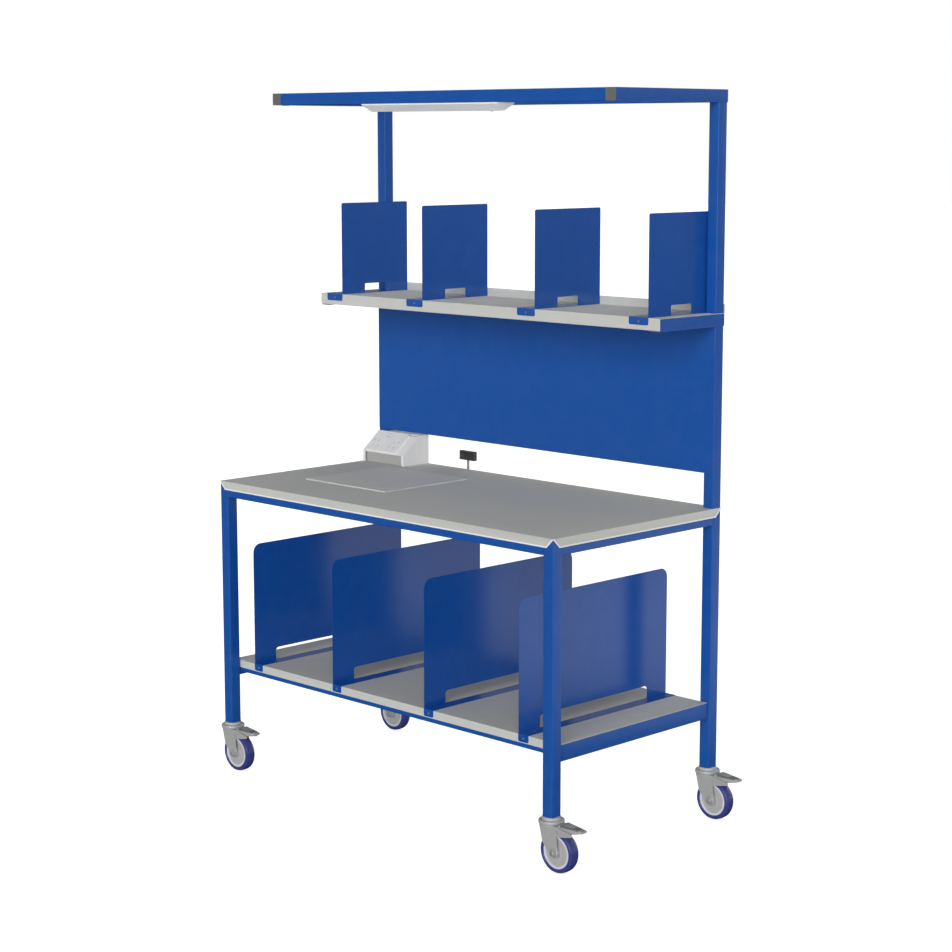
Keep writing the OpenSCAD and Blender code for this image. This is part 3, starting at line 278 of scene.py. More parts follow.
def place_group(tree: NodeTree, group: NodeTree, **values: object) -> Node:
    """Place a group in a material and feed or set its inputs, named with _ for a space."""
    node = add(tree, "ShaderNodeGroup", node_tree=group)
    for label, value in values.items():
        shown = (*value, 1.0) if isinstance(value, tuple) else value
        feed(tree, [node.inputs[label.replace("_", " ")]], [shown])
    return node


def start_material(name: str, **shader: object) -> Material:
    """Start a material on a Principled shader whose constant inputs are given by name."""
    material = bpy.data.materials.new(name)
    material.use_nodes = True
    principled = material.node_tree.nodes["Principled BSDF"]
    for label, value in shader.items():
        principled.inputs[label.replace("_", " ")].default_value = value
    return material


@dataclass(frozen=True)
class Finish:
    """What all finishes share: handling over a colour, and bumps.

    Attributes:
        name: The material's name.
        colour: Its colour.
        roughness: How matt it is.
        dust: How much dust lies on its upper faces.
        smudge: How much handling varies its roughness.
    """

    name: str
    colour: Colour
    roughness: float = 0.4
    dust: float = 0.04
    smudge: float = 0.03

    def complete(self, material: Material, groups: ShaderGroups, colour: object,
                 height: NodeSocket, strength: float, distance: float) -> Material:
        """Feed the handled colour and roughness, and bumps, into the material's shader.

        Args:
            material: The material.
            groups: The shared groups.
            colour: The colour before handling, a socket or a value.
            height: The height of the bumps.
            strength: The strength of the bumps.
            distance: The depth of the bumps.

        Returns:
            The material.
        """
        tree = material.node_tree
        handling = place_group(tree, groups.handling, Base_Colour=colour, Dust=self.dust,
                               Roughness=self.roughness, Smudge=self.smudge).outputs
        bump = add(tree, "ShaderNodeBump", Strength=strength, Distance=distance)
        tree.links.new(height, bump.inputs["Height"])
        shader = tree.nodes["Principled BSDF"].inputs
        feed(tree, (shader["Base Color"], shader["Roughness"], shader["Normal"]),
             (handling["Colour"], handling["Roughness"], bump.outputs["Normal"]))
        return material


@dataclass(frozen=True)
class PowderCoat(Finish):
    """Sprayed and baked paint on steel, with a fine orange peel.

    Attributes:
        worn: The colour of its worn edges.
        wear: How far the edges have worn.
        peel: The strength of the orange peel.
        gloss: How strongly the paint reflects, half for a plain varnish.
    """

    roughness: float = 0.34
    worn: Colour = (0.55, 0.6, 0.7)
    wear: float = 0.12
    peel: float = 0.02
    gloss: float = 0.5

    def make(self, groups: ShaderGroups) -> Material:
        """Build the material."""
        material = start_material(self.name, Specular_IOR_Level=self.gloss)
        tree = material.node_tree
        edges = place_group(tree, groups.edges, Paint_Colour=self.colour, Worn_Colour=self.worn,
                            Amount=self.wear)
        peel = place_group(tree, groups.peel, Fine=0.4, Coarse=0.6)
        return self.complete(material, groups, edges.outputs["Colour"], peel.outputs["Height"],
                             self.peel, PEEL_DEPTH)


@dataclass(frozen=True)
class Plastic(Finish):
    """Moulded plastic, fine-grained or glossy, with paler edges.

    Attributes:
        grain: The strength of its moulded grain.
        grain_scale: How fine the grain is.
        sheen: The weight of light scattered below the surface.
        sheen_depth: How deep that light goes.
        wear: How far the edges have worn.
    """

    roughness: float = 0.45
    dust: float = 0.03
    smudge: float = 0.08
    grain: float = 0.15
    grain_scale: float = 1500.0
    sheen: float = 0.0
    sheen_depth: float = 4 * MM
    wear: float = 0.15

    def make(self, groups: ShaderGroups) -> Material:
        """Build the material."""
        material = start_material(self.name, Subsurface_Weight=self.sheen,
                                  Subsurface_Scale=self.sheen_depth)
        tree = material.node_tree
        pale = tuple(min(1.0, channel * 1.5 + 0.04) for channel in self.colour)
        edges = place_group(tree, groups.edges, Paint_Colour=self.colour, Worn_Colour=pale,
                            Amount=self.wear)
        return self.complete(material, groups, edges.outputs["Colour"],
                             noise(tree, self.grain_scale, 2.0), self.grain, GRAIN_DEPTH)


@dataclass(frozen=True)
class ZincPlate(Finish):
    """Zinc on steel, bright or hot-dipped, with spangle, brushing and dulled edges.

    Attributes:
        size: How fine its spangle is.
        tone: How much the spangle's crystals differ.
        depth: The depth of its brushing.
        brushed: The strength of its brushing.
        metallic: How metallic it is, less where a passivated layer dulls it.
        gloss: How strongly that layer reflects.
    """

    roughness: float = 0.38
    dust: float = 0.05
    smudge: float = 0.12
    size: float = 160.0
    tone: float = 0.18
    depth: float = 0.5
    brushed: float = 0.12
    metallic: float = 1.0
    gloss: float = 0.5

    def make(self, groups: ShaderGroups) -> Material:
        """Build the material."""
        material = start_material(self.name, Metallic=self.metallic,
                                  Specular_IOR_Level=self.gloss)
        tree = material.node_tree
        spangle = place_group(tree, groups.spangle, Base_Colour=self.colour, Tone=self.tone,
                              Size=self.size)
        brushing = place_group(tree, groups.brushing, Depth=self.depth)
        return self.complete(material, groups, spangle.outputs["Colour"],
                             brushing.outputs["Height"], self.brushed, BRUSH_DEPTH)


@dataclass(frozen=True)
class CastTyre(Finish):
    """Cast polyurethane on a wheel: a tinted, slightly waxy elastomer.

    Attributes:
        grain: The strength of its cast grain.
        grain_scale: How fine the grain is.
        sheen: The weight of light scattered below the surface.
        sheen_depth: How deep that light goes.
        coat: The weight of its waxy film.
    """

    roughness: float = 0.32
    dust: float = 0.12
    smudge: float = 0.2
    grain: float = 0.1
    grain_scale: float = 700.0
    sheen: float = 0.1
    sheen_depth: float = 3 * MM
    coat: float = 0.3

    def make(self, groups: ShaderGroups) -> Material:
        """Build the material."""
        material = start_material(self.name, Subsurface_Weight=self.sheen,
                                  Subsurface_Scale=self.sheen_depth, Coat_Weight=self.coat)
        return self.complete(material, groups, self.colour,
                             noise(material.node_tree, self.grain_scale, 3.0), self.grain,
                             GRAIN_DEPTH)


class Slot(Enum):
    """The record's material slots, each with its finish."""

    frame_paint = PowderCoat("frame blue", (0.005, 0.080, 0.36), roughness=0.33, wear=0.04,
                             dust=0.01, gloss=0.4)
    divider_paint = PowderCoat("divider blue", (0.005, 0.076, 0.355), roughness=0.2, wear=0.04,
                               dust=0.01, smudge=0.01)
    sheet_paint = PowderCoat("worktop grey", (0.555, 0.56, 0.53), roughness=0.7, peel=0.06,
                             worn=(0.68, 0.69, 0.68), wear=0.3, gloss=0.03)
    light_paint = PowderCoat("console grey", (0.80, 0.80, 0.79), roughness=0.55,
                             worn=(0.8, 0.8, 0.8), wear=0.3, gloss=0.2)
    scale_steel = ZincPlate("scale plate", (0.63, 0.62, 0.58), roughness=0.6, size=30.0,
                            tone=0.04, depth=1.0, metallic=0.05, gloss=0.2)
    galvanised = ZincPlate("galvanised pan", (0.5, 0.51, 0.52), size=60.0, tone=0.25)
    cell_aluminium = ZincPlate("milled aluminium", (0.72, 0.72, 0.74), size=20.0, tone=0.03)
    zinc_plate = ZincPlate("castor zinc", (0.46, 0.465, 0.46), roughness=0.5, size=240.0,
                           tone=0.1, metallic=0.2)
    dark_steel = PowderCoat("black steel", (0.03, 0.03, 0.032), roughness=0.4,
                            worn=(0.3, 0.3, 0.3))
    display_plastic = Plastic("display case", (0.045, 0.045, 0.046), roughness=0.4)
    cap_plastic = Plastic("cap grey", (0.13, 0.13, 0.13), roughness=0.55)
    collar_plastic = Plastic("collar grey", (0.52, 0.52, 0.52), roughness=0.5)
    core_plastic = Plastic("wheel core", (0.43, 0.43, 0.425), roughness=0.45, sheen=0.05)
    switch_plastic = Plastic("switch white", (0.80, 0.80, 0.79), roughness=0.4, grain=0.03)
    opal_cover = Plastic("opal cover", (0.90, 0.90, 0.89), roughness=0.3, grain=0.05, sheen=0.2)
    tyre_blue = CastTyre("tyre blue", (0.045, 0.054, 0.23), roughness=0.24)


class Extra(Enum):
    """Finishes of details that the record's slots don't name."""

    # Paler grey for the worktop's hem: a painted highlight along the sheet's edge.
    hem = PowderCoat("hem grey", (0.85, 0.85, 0.85), roughness=0.5, worn=(0.9, 0.9, 0.9),
                     gloss=0.2)
    screen = Plastic("display window", (0.034, 0.035, 0.035), roughness=0.2, grain=0.0)
    # Dark grey of the socket's shutters, also used as the painted shade of the pedal's slot.
    shutter = Plastic("shutter grey", (0.10, 0.10, 0.10), roughness=0.6)
    bolt = ZincPlate("bolt zinc", (0.58, 0.58, 0.57), roughness=0.4, metallic=0.5)
    tab_bolt = ZincPlate("tab screw zinc", (0.20, 0.22, 0.27), roughness=0.4, metallic=0.5,
                         gloss=0.3)
    # Darker grey that stands for shade: painted shade on the console's recessed front and on the
    # sheets under its cable slots.
    shade = PowderCoat("console front grey", (0.42, 0.42, 0.41), roughness=0.6, gloss=0.1)
    # Paler finish for the scale platform's rounded edge: a painted highlight.
    bright_edge = ZincPlate("bright edge", (0.85, 0.85, 0.84), roughness=0.5, size=30.0,
                            metallic=0.1, gloss=0.3)
    pole = PowderCoat("pole grey", (0.25, 0.25, 0.25), roughness=0.4, worn=(0.4, 0.4, 0.4))
    lamp_tray = PowderCoat("lamp white", (0.88, 0.88, 0.87), worn=(0.9, 0.9, 0.9), gloss=0.3)
    rim = Plastic("rim grey", (0.66, 0.66, 0.75), roughness=0.4)
    tread = Plastic("tread grey", (0.16, 0.165, 0.165), roughness=0.6)
    bar = Plastic("grip bars", (0.42, 0.42, 0.42), roughness=0.5)


class Palette:
    """The finished materials, each built when it is first asked for."""

    def __init__(self) -> None:
        """Build the shared groups."""
        self.groups = ShaderGroups()
        self.made: dict[str, Material] = {}

    def get(self, choice: Slot | Extra) -> Material:
        """Return the material of a slot or an extra finish."""
        if choice.name not in self.made:
            self.made[choice.name] = choice.value.make(self.groups)
        return self.made[choice.name]


# Surfaces

def number_quads(grid: Array) -> NDArray[np.int64]:
    """Number the corners of the quads of a grid, rows by columns by three, whose columns close."""
    rows, columns = grid.shape[:2]
    row, column = np.mgrid[:rows - 1, :columns]
    beside = (column + 1) % columns
    corners = [(row + down) * columns + along
               for down, along in ((0, column), (0, beside), (1, beside), (1, column))]
    return np.stack(corners, axis=-1).reshape(-1, 4)


def make_surface(name: str, grids: Sequence[Array], sharp_angle: float) -> Object:
    """Make one object of grids of points: doubles merged and normals outwards.

    Args:
        name: Its name.
        grids: Its grids, each rows by columns by three, with columns that close.
        sharp_angle: Edges sharper than this, in degrees, stay sharp.

    Returns:
        The object.
    """
    points = [grid.reshape(-1, 3) for grid in grids]
    starts = np.cumsum([0, *map(len, points)])
    faces = [number_quads(grid) + start for grid, start in zip(grids, starts)]
    mesh = bpy.data.meshes.new(name)
    mesh.from_pydata(np.concatenate(points).tolist(), [], np.concatenate(faces).tolist())
    work = bmesh.new()
    work.from_mesh(mesh)
    bmesh.ops.remove_doubles(work, verts=work.verts, dist=SAME_POINT)
    bmesh.ops.dissolve_degenerate(work, edges=work.edges, dist=SAME_POINT / 10)
    bmesh.ops.recalc_face_normals(work, faces=work.faces)
    work.to_mesh(mesh)
    work.free()
    smooth_up_to(mesh, sharp_angle)
    return new_object(name, mesh)


def new_object(name: str, data: bpy.types.ID) -> Object:
    """Put a new object with a mesh, a camera or a light into the scene."""
    thing = bpy.data.objects.new(name, data)
    bpy.context.scene.collection.objects.link(thing)
    return thing


def smooth_up_to(mesh: Mesh, angle: float) -> None:
    """Shade a mesh smooth, with edges sharper than the angle in degrees kept sharp."""
    mesh.polygons.foreach_set("use_smooth", np.ones(len(mesh.polygons), dtype=bool))
    mesh.set_sharp_from_angle(angle=math.radians(angle))


class Axis(Enum):
    """The axis that a profile is revolved about."""

    Y = "Y"
    Z = "Z"


def full_turn(steps: int) -> Array:
    """Return angles spaced evenly around a full turn."""
    return np.linspace(0, 2 * np.pi, steps, endpoint=False)


def revolve(profile: Array, centre: Array, axis: Axis, steps: int = 96) -> Array:
    """Revolve a profile of radius and height: each point goes to r cos t, r sin t, h.

    Args:
        profile: Points as radius and height along the axis.
        centre: The point on the axis where the height is zero.
        axis: The axis.
        steps: Points around the axis.

    Returns:
        A grid of points, one row per profile point, whose columns close.
    """
    turn = full_turn(steps)[None, :]
    radius, height = profile[:, :1], profile[:, 1:]
    first, second = radius * np.cos(turn), radius * np.sin(turn)
    along = np.broadcast_to(height, first.shape)
    order = (first, second, along) if axis is Axis.Z else (first, along, -second)
    return np.stack(order, axis=-1) + centre


def rounded_profile(corners: Sequence[Pair], radius: float, steps: int = 5,
                    closed: bool = True) -> Array:
    """Round the corners of an outline by quadratic curves.

    Each corner c between neighbours a and b becomes the curve (1-t)^2 p + 2t(1-t) c + t^2 q,
    where p and q lie on the two sides at the radius from c, or at 45% of a shorter side.

    Args:
        corners: The outline's corners.
        radius: Distance from each corner at which its curve begins.
        steps: Points on each curve.
        closed: Whether the outline closes; if not, its two ends stay sharp.

    Returns:
        The outline's points.
    """
    outline = np.array(corners, dtype=float)
    before, after = np.roll(outline, 1, axis=0), np.roll(outline, -1, axis=0)
    sides = [before - outline, after - outline]
    lengths = [np.linalg.norm(side, axis=1, keepdims=True) for side in sides]
    near, far = (outline + side * np.minimum(radius / length, 0.45)
                 for side, length in zip(sides, lengths))
    t = np.linspace(0, 1, steps)[None, :, None]
    curves = ((1 - t) ** 2 * near[:, None] + 2 * t * (1 - t) * outline[:, None]
              + t ** 2 * far[:, None])
    if closed:
        return curves.reshape(-1, 2)
    middle = curves[1:-1].reshape(-1, 2)
    return np.concatenate([outline[:1], middle, outline[-1:]])


def hexagon_radius(turn: Array, across_flats: float) -> Array:
    """Distance from a hexagon's middle to its edge: half the flats over cos of the turn to the
    nearest flat's middle."""
    nearest = (turn + np.pi / 6) % (np.pi / 3) - np.pi / 6
    return across_flats / 2 / np.cos(nearest)


def hexagon_nut(centre: Array, outward: float, corners: float, height: float,
                bore: float) -> Array:
    """Surface of a chamfered nut on an axis along Y.

    The rings run from the bore over the face to the rim and down the flats. Where the hexagon
    reaches past the face's circle, of 0.47 times the width across the flats, it drops by 30
    degrees.

    Args:
        centre: Middle of the nut's inner face.
        outward: Sign of Y in which the nut stands.
        corners: Width across the corners.
        height: Height of the nut.
        bore: Radius at which the face begins.

    Returns:
        A grid of rings by turns, whose columns close.
    """
    turn = full_turn(72)
    flats = corners * math.cos(math.pi / 6)
    rim, face = hexagon_radius(turn, flats), 0.47 * flats
    drop = (rim - face) * math.tan(math.pi / 6)
    rings = ((bore, height), (face, height), (rim, height - drop), (rim, drop), (face, 0.0),
             (bore, 0.0))
    radius, depth = (np.stack([np.broadcast_to(value, turn.shape) for value in values])
                     for values in zip(*rings))
    grid = np.stack([radius * np.cos(turn), outward * depth, radius * np.sin(turn)], axis=-1)
    return grid + centre


def dome_screw(centre: Array, outward: Array, radius: float, height: float) -> Array:
    """Surface of a button-head screw with a hexagon socket.

    Rings run from the socket's middle to its wall, up the wall, and over the dome, whose height is
    h times the square root of 1 - 0.97 (r / R)^2. The socket's bottom lies at 0.35 h.

    Args:
        centre: Middle of the seat.
        outward: Unit direction in which the head stands.
        radius: Radius of the head.
        height: Height of the head.

    Returns:
        A grid of rings by turns, whose columns close.
    """
    turn = full_turn(36)
    dome = [np.full_like(turn, radius * share) for share in (0.72, 0.82, 0.9, 0.96, 1.0)]
    socket = hexagon_radius(turn, radius)
    radii = np.stack([np.zeros_like(turn), socket, socket, *dome, dome[-1]])
    levels = height * np.sqrt(1 - 0.97 * (radii / radius) ** 2)
    levels[:2] = 0.35 * height
    levels[-1] = 0.0
    return centre + radii[..., None] * circle(turn, outward) + levels[..., None] * outward


def circle(turn: Array, axis: Array) -> Array:
    """Points at the given angles on a unit circle about an axis."""
    across, up = side_vectors(axis)
    return np.cos(turn)[:, None] * across + np.sin(turn)[:, None] * up


def side_vectors(direction: Array) -> Span:
    """Return two unit vectors square to a direction and to each other."""
    helper = np.array([0.0, 0.0, 1.0]) if abs(direction[2]) < 0.9 else np.array([1.0, 0.0, 0.0])
    across = np.cross(direction, helper)
    across /= np.linalg.norm(across)
    return across, np.cross(direction, across)


def weld_bead(start: Array, stop: Array, radius: float, ripple: float = 0.12) -> Array:
    """Surface of a straight weld: a round bead whose radius swells as 1 + k sin(s) along it.

    Here s goes once around in each pitch of the ripples.

    Args:
        start: One end of the bead.
        stop: The other end.
        radius: The bead's mean radius.
        ripple: The swelling k.

    Returns:
        A grid of rings along the bead, whose columns close; its ends taper to points.
    """
    length = float(np.linalg.norm(stop - start))
    share = np.linspace(0, 1, max(12, int(length / WELD_STEP)))
    taper = np.clip(np.minimum(share, 1 - share) * length / (1.5 * radius), 0, 1) ** 0.5
    width = radius * taper * (1 + ripple * np.sin(share * length / WELD_PITCH * 2 * np.pi))
    ring = circle(full_turn(10), (stop - start) / length)
    spine = start + share[:, None] * (stop - start)
    return spine[:, None] + width[:, None, None] * ring[None]


# Carried-over CAD nodes

@dataclass(frozen=True)
class Rounding:
    """How the edges of a copied CAD node are rounded.

    Attributes:
        width: Width of the rounding.
        steps: Segments of each rounding.
        angle: Edges sharper than this, in degrees, are rounded.
    """

    width: float
    steps: int = 2
    angle: float = 34.0


SHEET_EDGE = Rounding(0.5 * MM)
TUBE_EDGE = Rounding(0.6 * MM)


class Dresser:
    """Puts materials on CAD nodes and rounded copies of them, and finishes new pieces."""

    def __init__(self, palette: Palette) -> None:
        """Read which body and which slot each node belongs to."""
        self.palette = palette
        record = frame["record"]
        self.slot_of = {part["node"]: Slot[part["material_slot"]] for part in record["subparts"]}
        self.body_of = {node: body for body, nodes in record["behaviour"]["bodies"].items()
                        for node in nodes}

    def dress_nodes(self) -> None:
        """Give every CAD node the material of its slot."""
        for name, node in frame["nodes"].items():
            node.data.materials.clear()
            node.data.materials.append(self.palette.get(self.slot_of[name]))

    def finish(self, piece: Object, body: str, choice: Slot | Extra,
               slot: Slot | None = None, replaces: Sequence[str] = ()) -> Object:
        """Give a piece its material and body, and hide the nodes that it stands for.

        Args:
            piece: The piece.
            body: The body that it rides on.
            choice: Its finish.
            slot: The record's slot, where the finish is an extra one; not used.
            replaces: The CAD nodes that it stands for.

        Returns:
            The piece.
        """
        piece.data.materials.clear()
        piece.data.materials.append(self.palette.get(choice))
        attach(piece, body)
        if replaces:
            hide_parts(*replaces)
        log.info("%s rides on %s in %s", piece.name, body, choice.name)
        return piece

    def add_piece(self, name: str, grids: Sequence[Array], body: str, choice: Slot | Extra,
                  slot: Slot | None = None, replaces: Sequence[str] = (),
                  sharp_angle: float = 35.0) -> Object:
        """Make a piece of grids of points and finish it.

        Args:
            name: Its name.
            grids: Its grids, each rows by columns by three, with columns that close.
            body: The body that it rides on.
            choice: Its finish.
            slot: The record's slot, where the finish is an extra one.
            replaces: The CAD nodes that it stands for.
            sharp_angle: Edges sharper than this, in degrees, stay sharp.

        Returns:
            The piece.
        """
        return self.finish(make_surface(name, grids, sharp_angle), body, choice, slot, replaces)

    def round_node(self, name: str, rounding: Rounding) -> Object:
        """Replace a CAD node by a copy whose flat faces are merged and whose edges are rounded."""
        mesh = frame["nodes"][name].data.copy()
        work = bmesh.new()
        work.from_mesh(mesh)
        bmesh.ops.remove_doubles(work, verts=work.verts, dist=SAME_POINT)
        bmesh.ops.dissolve_limit(work, angle_limit=math.radians(0.5), verts=work.verts,
                                 edges=work.edges)
        work.to_mesh(mesh)
        work.free()
        smooth_up_to(mesh, rounding.angle)
        piece = new_object(f"{name}_finished", mesh)
        bevel = piece.modifiers.new("rounded edges", "BEVEL")
        bevel.width = rounding.width
        bevel.segments = rounding.steps
        bevel.limit_method = "ANGLE"
        bevel.angle_limit = math.radians(rounding.angle)
        bevel.harden_normals = True
        return self.finish(piece, self.body_of[name], self.slot_of[name], replaces=[name])

    def round_all(self, names: Sequence[str], rounding: Rounding) -> None:
        """Round several nodes alike."""
        for name in names:
            self.round_node(name, rounding)


def span_of(name: str) -> Span:
    """Return the lowest and highest corners of a CAD node's box."""
    low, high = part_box(name)
    return np.array(low), np.array(high)


def middle_of(name: str) -> Array:
    """Return the middle of a CAD node's box."""
    return sum(span_of(name)) / 2


def at(x: float, y: float, z: float) -> Array:
    """Return a point given in millimetres."""
    return np.array([x, y, z]) * MM


def face_middles(mesh: Mesh) -> Array:
    """Return the middle of every face of a mesh."""
    middles = np.empty(3 * len(mesh.polygons))
    mesh.polygons.foreach_get("center", middles)
    return middles.reshape(-1, 3)


def paint_faces(piece: Object, chosen: NDArray[np.bool_], material: Material) -> None:
    """Give the chosen faces of a piece a further material."""
    piece.data.materials.append(material)
    numbers = np.where(chosen, len(piece.data.materials) - 1, 0)
    piece.data.polygons.foreach_set("material_index", numbers.astype(np.int32))


def slab(outline: Array, place: Callable[[Array], Array], height: float, edge: float) -> Array:
    """Surface of a flat slab with a rounded upper edge.

    Rings run from the outline up to the height less the edge, then inwards along a quarter circle,
    and last to the middle. The inset of a ring is e (1 - cos a) and its rise is e sin a.

    Args:
        outline: The outline's points, around its own middle at zero.
        place: Turns points of the slab's own frame into points in space.
        height: The slab's height.
        edge: Radius of its upper edge.

    Returns:
        A grid of rings by outline points, whose columns close.
    """
    reach = np.linalg.norm(outline, axis=1, keepdims=True)
    angle = np.linspace(0, np.pi / 2, 4)
    insets = np.concatenate([[0.0], edge * (1 - np.cos(angle))])
    rises = np.concatenate([[0.0], height - edge + edge * np.sin(angle)])
    rings = [np.column_stack([outline * (1 - inset / reach), np.full(len(outline), rise)])
             for inset, rise in zip(insets, rises)]
    rings.append(np.column_stack([outline * 0, np.full(len(outline), height)]))
    rings.insert(0, rings[-1] * [1, 1, 0])
    grid = np.stack(rings)
    return place(grid.reshape(-1, 3)).reshape(grid.shape)


def box_outline(width: float, height: float, radius: float) -> Array:
    """Outline of a rounded rectangle around zero."""
    x, y = width / 2, height / 2
    return rounded_profile([(x, y), (-x, y), (-x, -y), (x, -y)], radius)


def between(x: Array, reach: Pair, values: Pair) -> Array:
    """Value that goes straight from the first to the second as x goes over the reach."""
    return values[0] + (values[1] - values[0]) * (x - reach[0]) / (reach[1] - reach[0])


@dataclass
class Frame:
    """The welded tube frame, its caps and its welds.

    Attributes:
        dresser: Puts finishes on pieces.
        bead: Radius of the weld beads.
        tube_radius: Corner radius of the tubes, where a bead stops.
        tube_width: Width of a square tube.
        rail_width: Width of a rail under the worktop.
        tubes: The nodes of the tubes.
    """

    dresser: Dresser
    bead: float = 1.5 * MM
    tube_radius: float = 2.5 * MM
    tube_width: float = 38 * MM
    rail_width: float = 25 * MM
    tubes: tuple[str, ...] = ("leg_front_left", "leg_front_right", "leg_rear_left",
                              "leg_rear_right", "top_rails", "shelf_frame", "shelf_mast_left",
                              "shelf_mast_right", "canopy_mast_left", "canopy_mast_right",
                              "canopy_beam")

    def build(self) -> None:
        """Round the tubes and their caps, lay the welds and add the canopy's rear beam."""
        self.dresser.round_all(self.tubes, TUBE_EDGE)
        self.dresser.round_node("tube_end_caps", Rounding(0.8 * MM, 3))
        beads = [weld_bead(start, stop, self.bead) for start, stop in self.welds()]
        self.dresser.add_piece("weld_beads", beads, "table", Slot.frame_paint, sharp_angle=60.0)
        self.add_rear_beam()

    def rear_span(self) -> Span:
        """Return the corners of the canopy's rear beam, between the rear ends of its arms."""
        low, high = span_of("canopy_beam")
        back = np.array([0, span_of("canopy_mast_left")[1][1] - high[1], 0])
        return low + back, high + back

    def add_rear_beam(self) -> None:
        """Make the canopy's rear beam, a square tube like the front one."""
        low, high = self.rear_span()
        outline = box_outline(*(high - low)[1:], self.tube_radius)
        middle = (low + high)[1:] / 2
        ends = ((low[0], 0), (low[0], 1), (high[0], 1), (high[0], 0))
        rings = [np.column_stack([np.full(len(outline), x), middle + outline * scale])
                 for x, scale in ends]
        self.dresser.add_piece("canopy_rear_beam", [np.array(rings)], "table", Slot.frame_paint)

    def welds(self) -> list[Span]:
        """List both ends of every weld: at the beams, at the rails' ends and under the arms."""
        lines: list[Span] = []
        front, rear = span_of("canopy_beam"), self.rear_span()
        for x in (front[0][0], front[1][0]):
            lines += self.around_end(x, *front) + self.around_end(x, *rear)[::2]
        rail_low, rail_high = span_of("top_rails")
        for side in Side:
            leg_low, leg_high = span_of(f"leg_front_{side.name.lower()}")
            inner = leg_high[0] if side is Side.LEFT else leg_low[0]
            for y in (rail_low[1], rail_high[1] - self.rail_width):
                ends = (y + self.tube_radius, y + self.rail_width - self.tube_radius)
                lines.append(tuple(np.array([inner, end, rail_low[2]]) for end in ends))
            for name in ("shelf_mast", "canopy_mast"):
                lines.append(self.under_arm(f"{name}_{side.name.lower()}"))
        return lines

    def around_end(self, x: float, low: Array, high: Array) -> list[Span]:
        """Lines on the front, the rear and the underside of a square beam's end."""
        inner_low, inner_high = low + self.tube_radius, high - self.tube_radius
        lines = [(np.array([x, y, inner_low[2]]), np.array([x, y, inner_high[2]]))
                 for y in (low[1], high[1])]
        return lines + [tuple(np.array([x, y, low[2]]) for y in (inner_low[1], inner_high[1]))]

    def under_arm(self, name: str) -> Span:
        """Line across a mast's front, right under its arm."""
        low, high = span_of(name)
        corner = high - self.tube_width
        return (np.array([low[0] + self.tube_radius, *corner[1:]]),
                np.array([high[0] - self.tube_radius, *corner[1:]]))


@dataclass
class Worktop:
    """The worktop, whose hem is painted paler as a painted highlight.

    Attributes:
        dresser: Puts finishes on pieces.
        hem_step: Distance by which the hem stands out from the apron.
        corner_width: Width of the rounded fold between the top and the apron.
    """

    dresser: Dresser
    hem_step: float = 0.8 * MM
    corner_width: float = 0.7 * MM

    def build(self) -> None:
        """Round the sheet's folds and paint the hem paler, a painted highlight along the sheet's
        edge.
        """
        piece = self.dresser.round_node("worktop", Rounding(self.corner_width, 3))
        low, high = span_of("worktop")
        middles = face_middles(piece.data)
        margin = self.hem_step * 0.98
        hem_highlight_faces = ((middles[:, 0] < low[0] + margin) | (middles[:, 0] > high[0] - margin)
                   | (middles[:, 1] < low[1] + margin) | (middles[:, 1] > high[1] - margin))
        # The hem's outer faces get a paler grey: a painted highlight along the edge.
        paint_faces(piece, hem_highlight_faces, self.dresser.palette.get(Extra.hem))


@dataclass
class Shelves:
    """Both shelves, the rear panel, the dividers and their screws.

    Attributes:
        dresser: Puts finishes on pieces.
        tab_middle: Height of a tab's screw above the tab's lower edge.
        head_radius: Radius of the screws' heads.
        head_height: Height of the screws' heads.
        shank_radius: Radius of the screws' shanks.
        shank_length: Length of the screws' shanks.
    """

    dresser: Dresser
    tab_middle: float = 11 * MM
    head_radius: float = 3.6 * MM
    head_height: float = 1.8 * MM
    shank_radius: float = 2 * MM
    shank_length: float = 7 * MM

    def build(self) -> None:
        """Round the sheets and place the screws."""
        self.dresser.round_all(["lower_shelf", "upper_shelf", "back_panel"], SHEET_EDGE)
        dividers = [f"{level}_divider_{number}" for level in ("lower", "upper")
                    for number in range(1, 5)]
        self.dresser.round_all(dividers, Rounding(0.45 * MM))
        shank = np.array([(self.head_radius, 0), (self.shank_radius, 0),
                          (self.shank_radius, self.shank_length), (0, self.shank_length)])
        grids: list[Array] = []
        for name in dividers:
            x, (_, y, z) = middle_of(name)[0], span_of(name)[0]
            seat = np.array([x, y, z + self.tab_middle])
            grids += [dome_screw(seat, np.array([0.0, -1.0, 0.0]), self.head_radius,
                                 self.head_height), revolve(shank, seat, Axis.Y, 36)]
        self.dresser.add_piece("tab_screws", grids, "table", Extra.tab_bolt, Slot.zinc_plate,
                               ["divider_screws"])


@dataclass
class Lamp:
    """The strip lamp.

    Attributes:
        dresser: Puts finishes on pieces.
    """

    dresser: Dresser

    def build(self) -> None:
        """Round the lamp's tray, cover and switch."""
        tray = self.dresser.round_node("lamp_tray", Rounding(0.5 * MM))
        self.dresser.finish(tray, "table", Extra.lamp_tray, Slot.light_paint)
        self.dresser.round_node("lamp_cover", Rounding(0.8 * MM, 3))
        self.dresser.round_node("lamp_switch", Rounding(0.4 * MM))


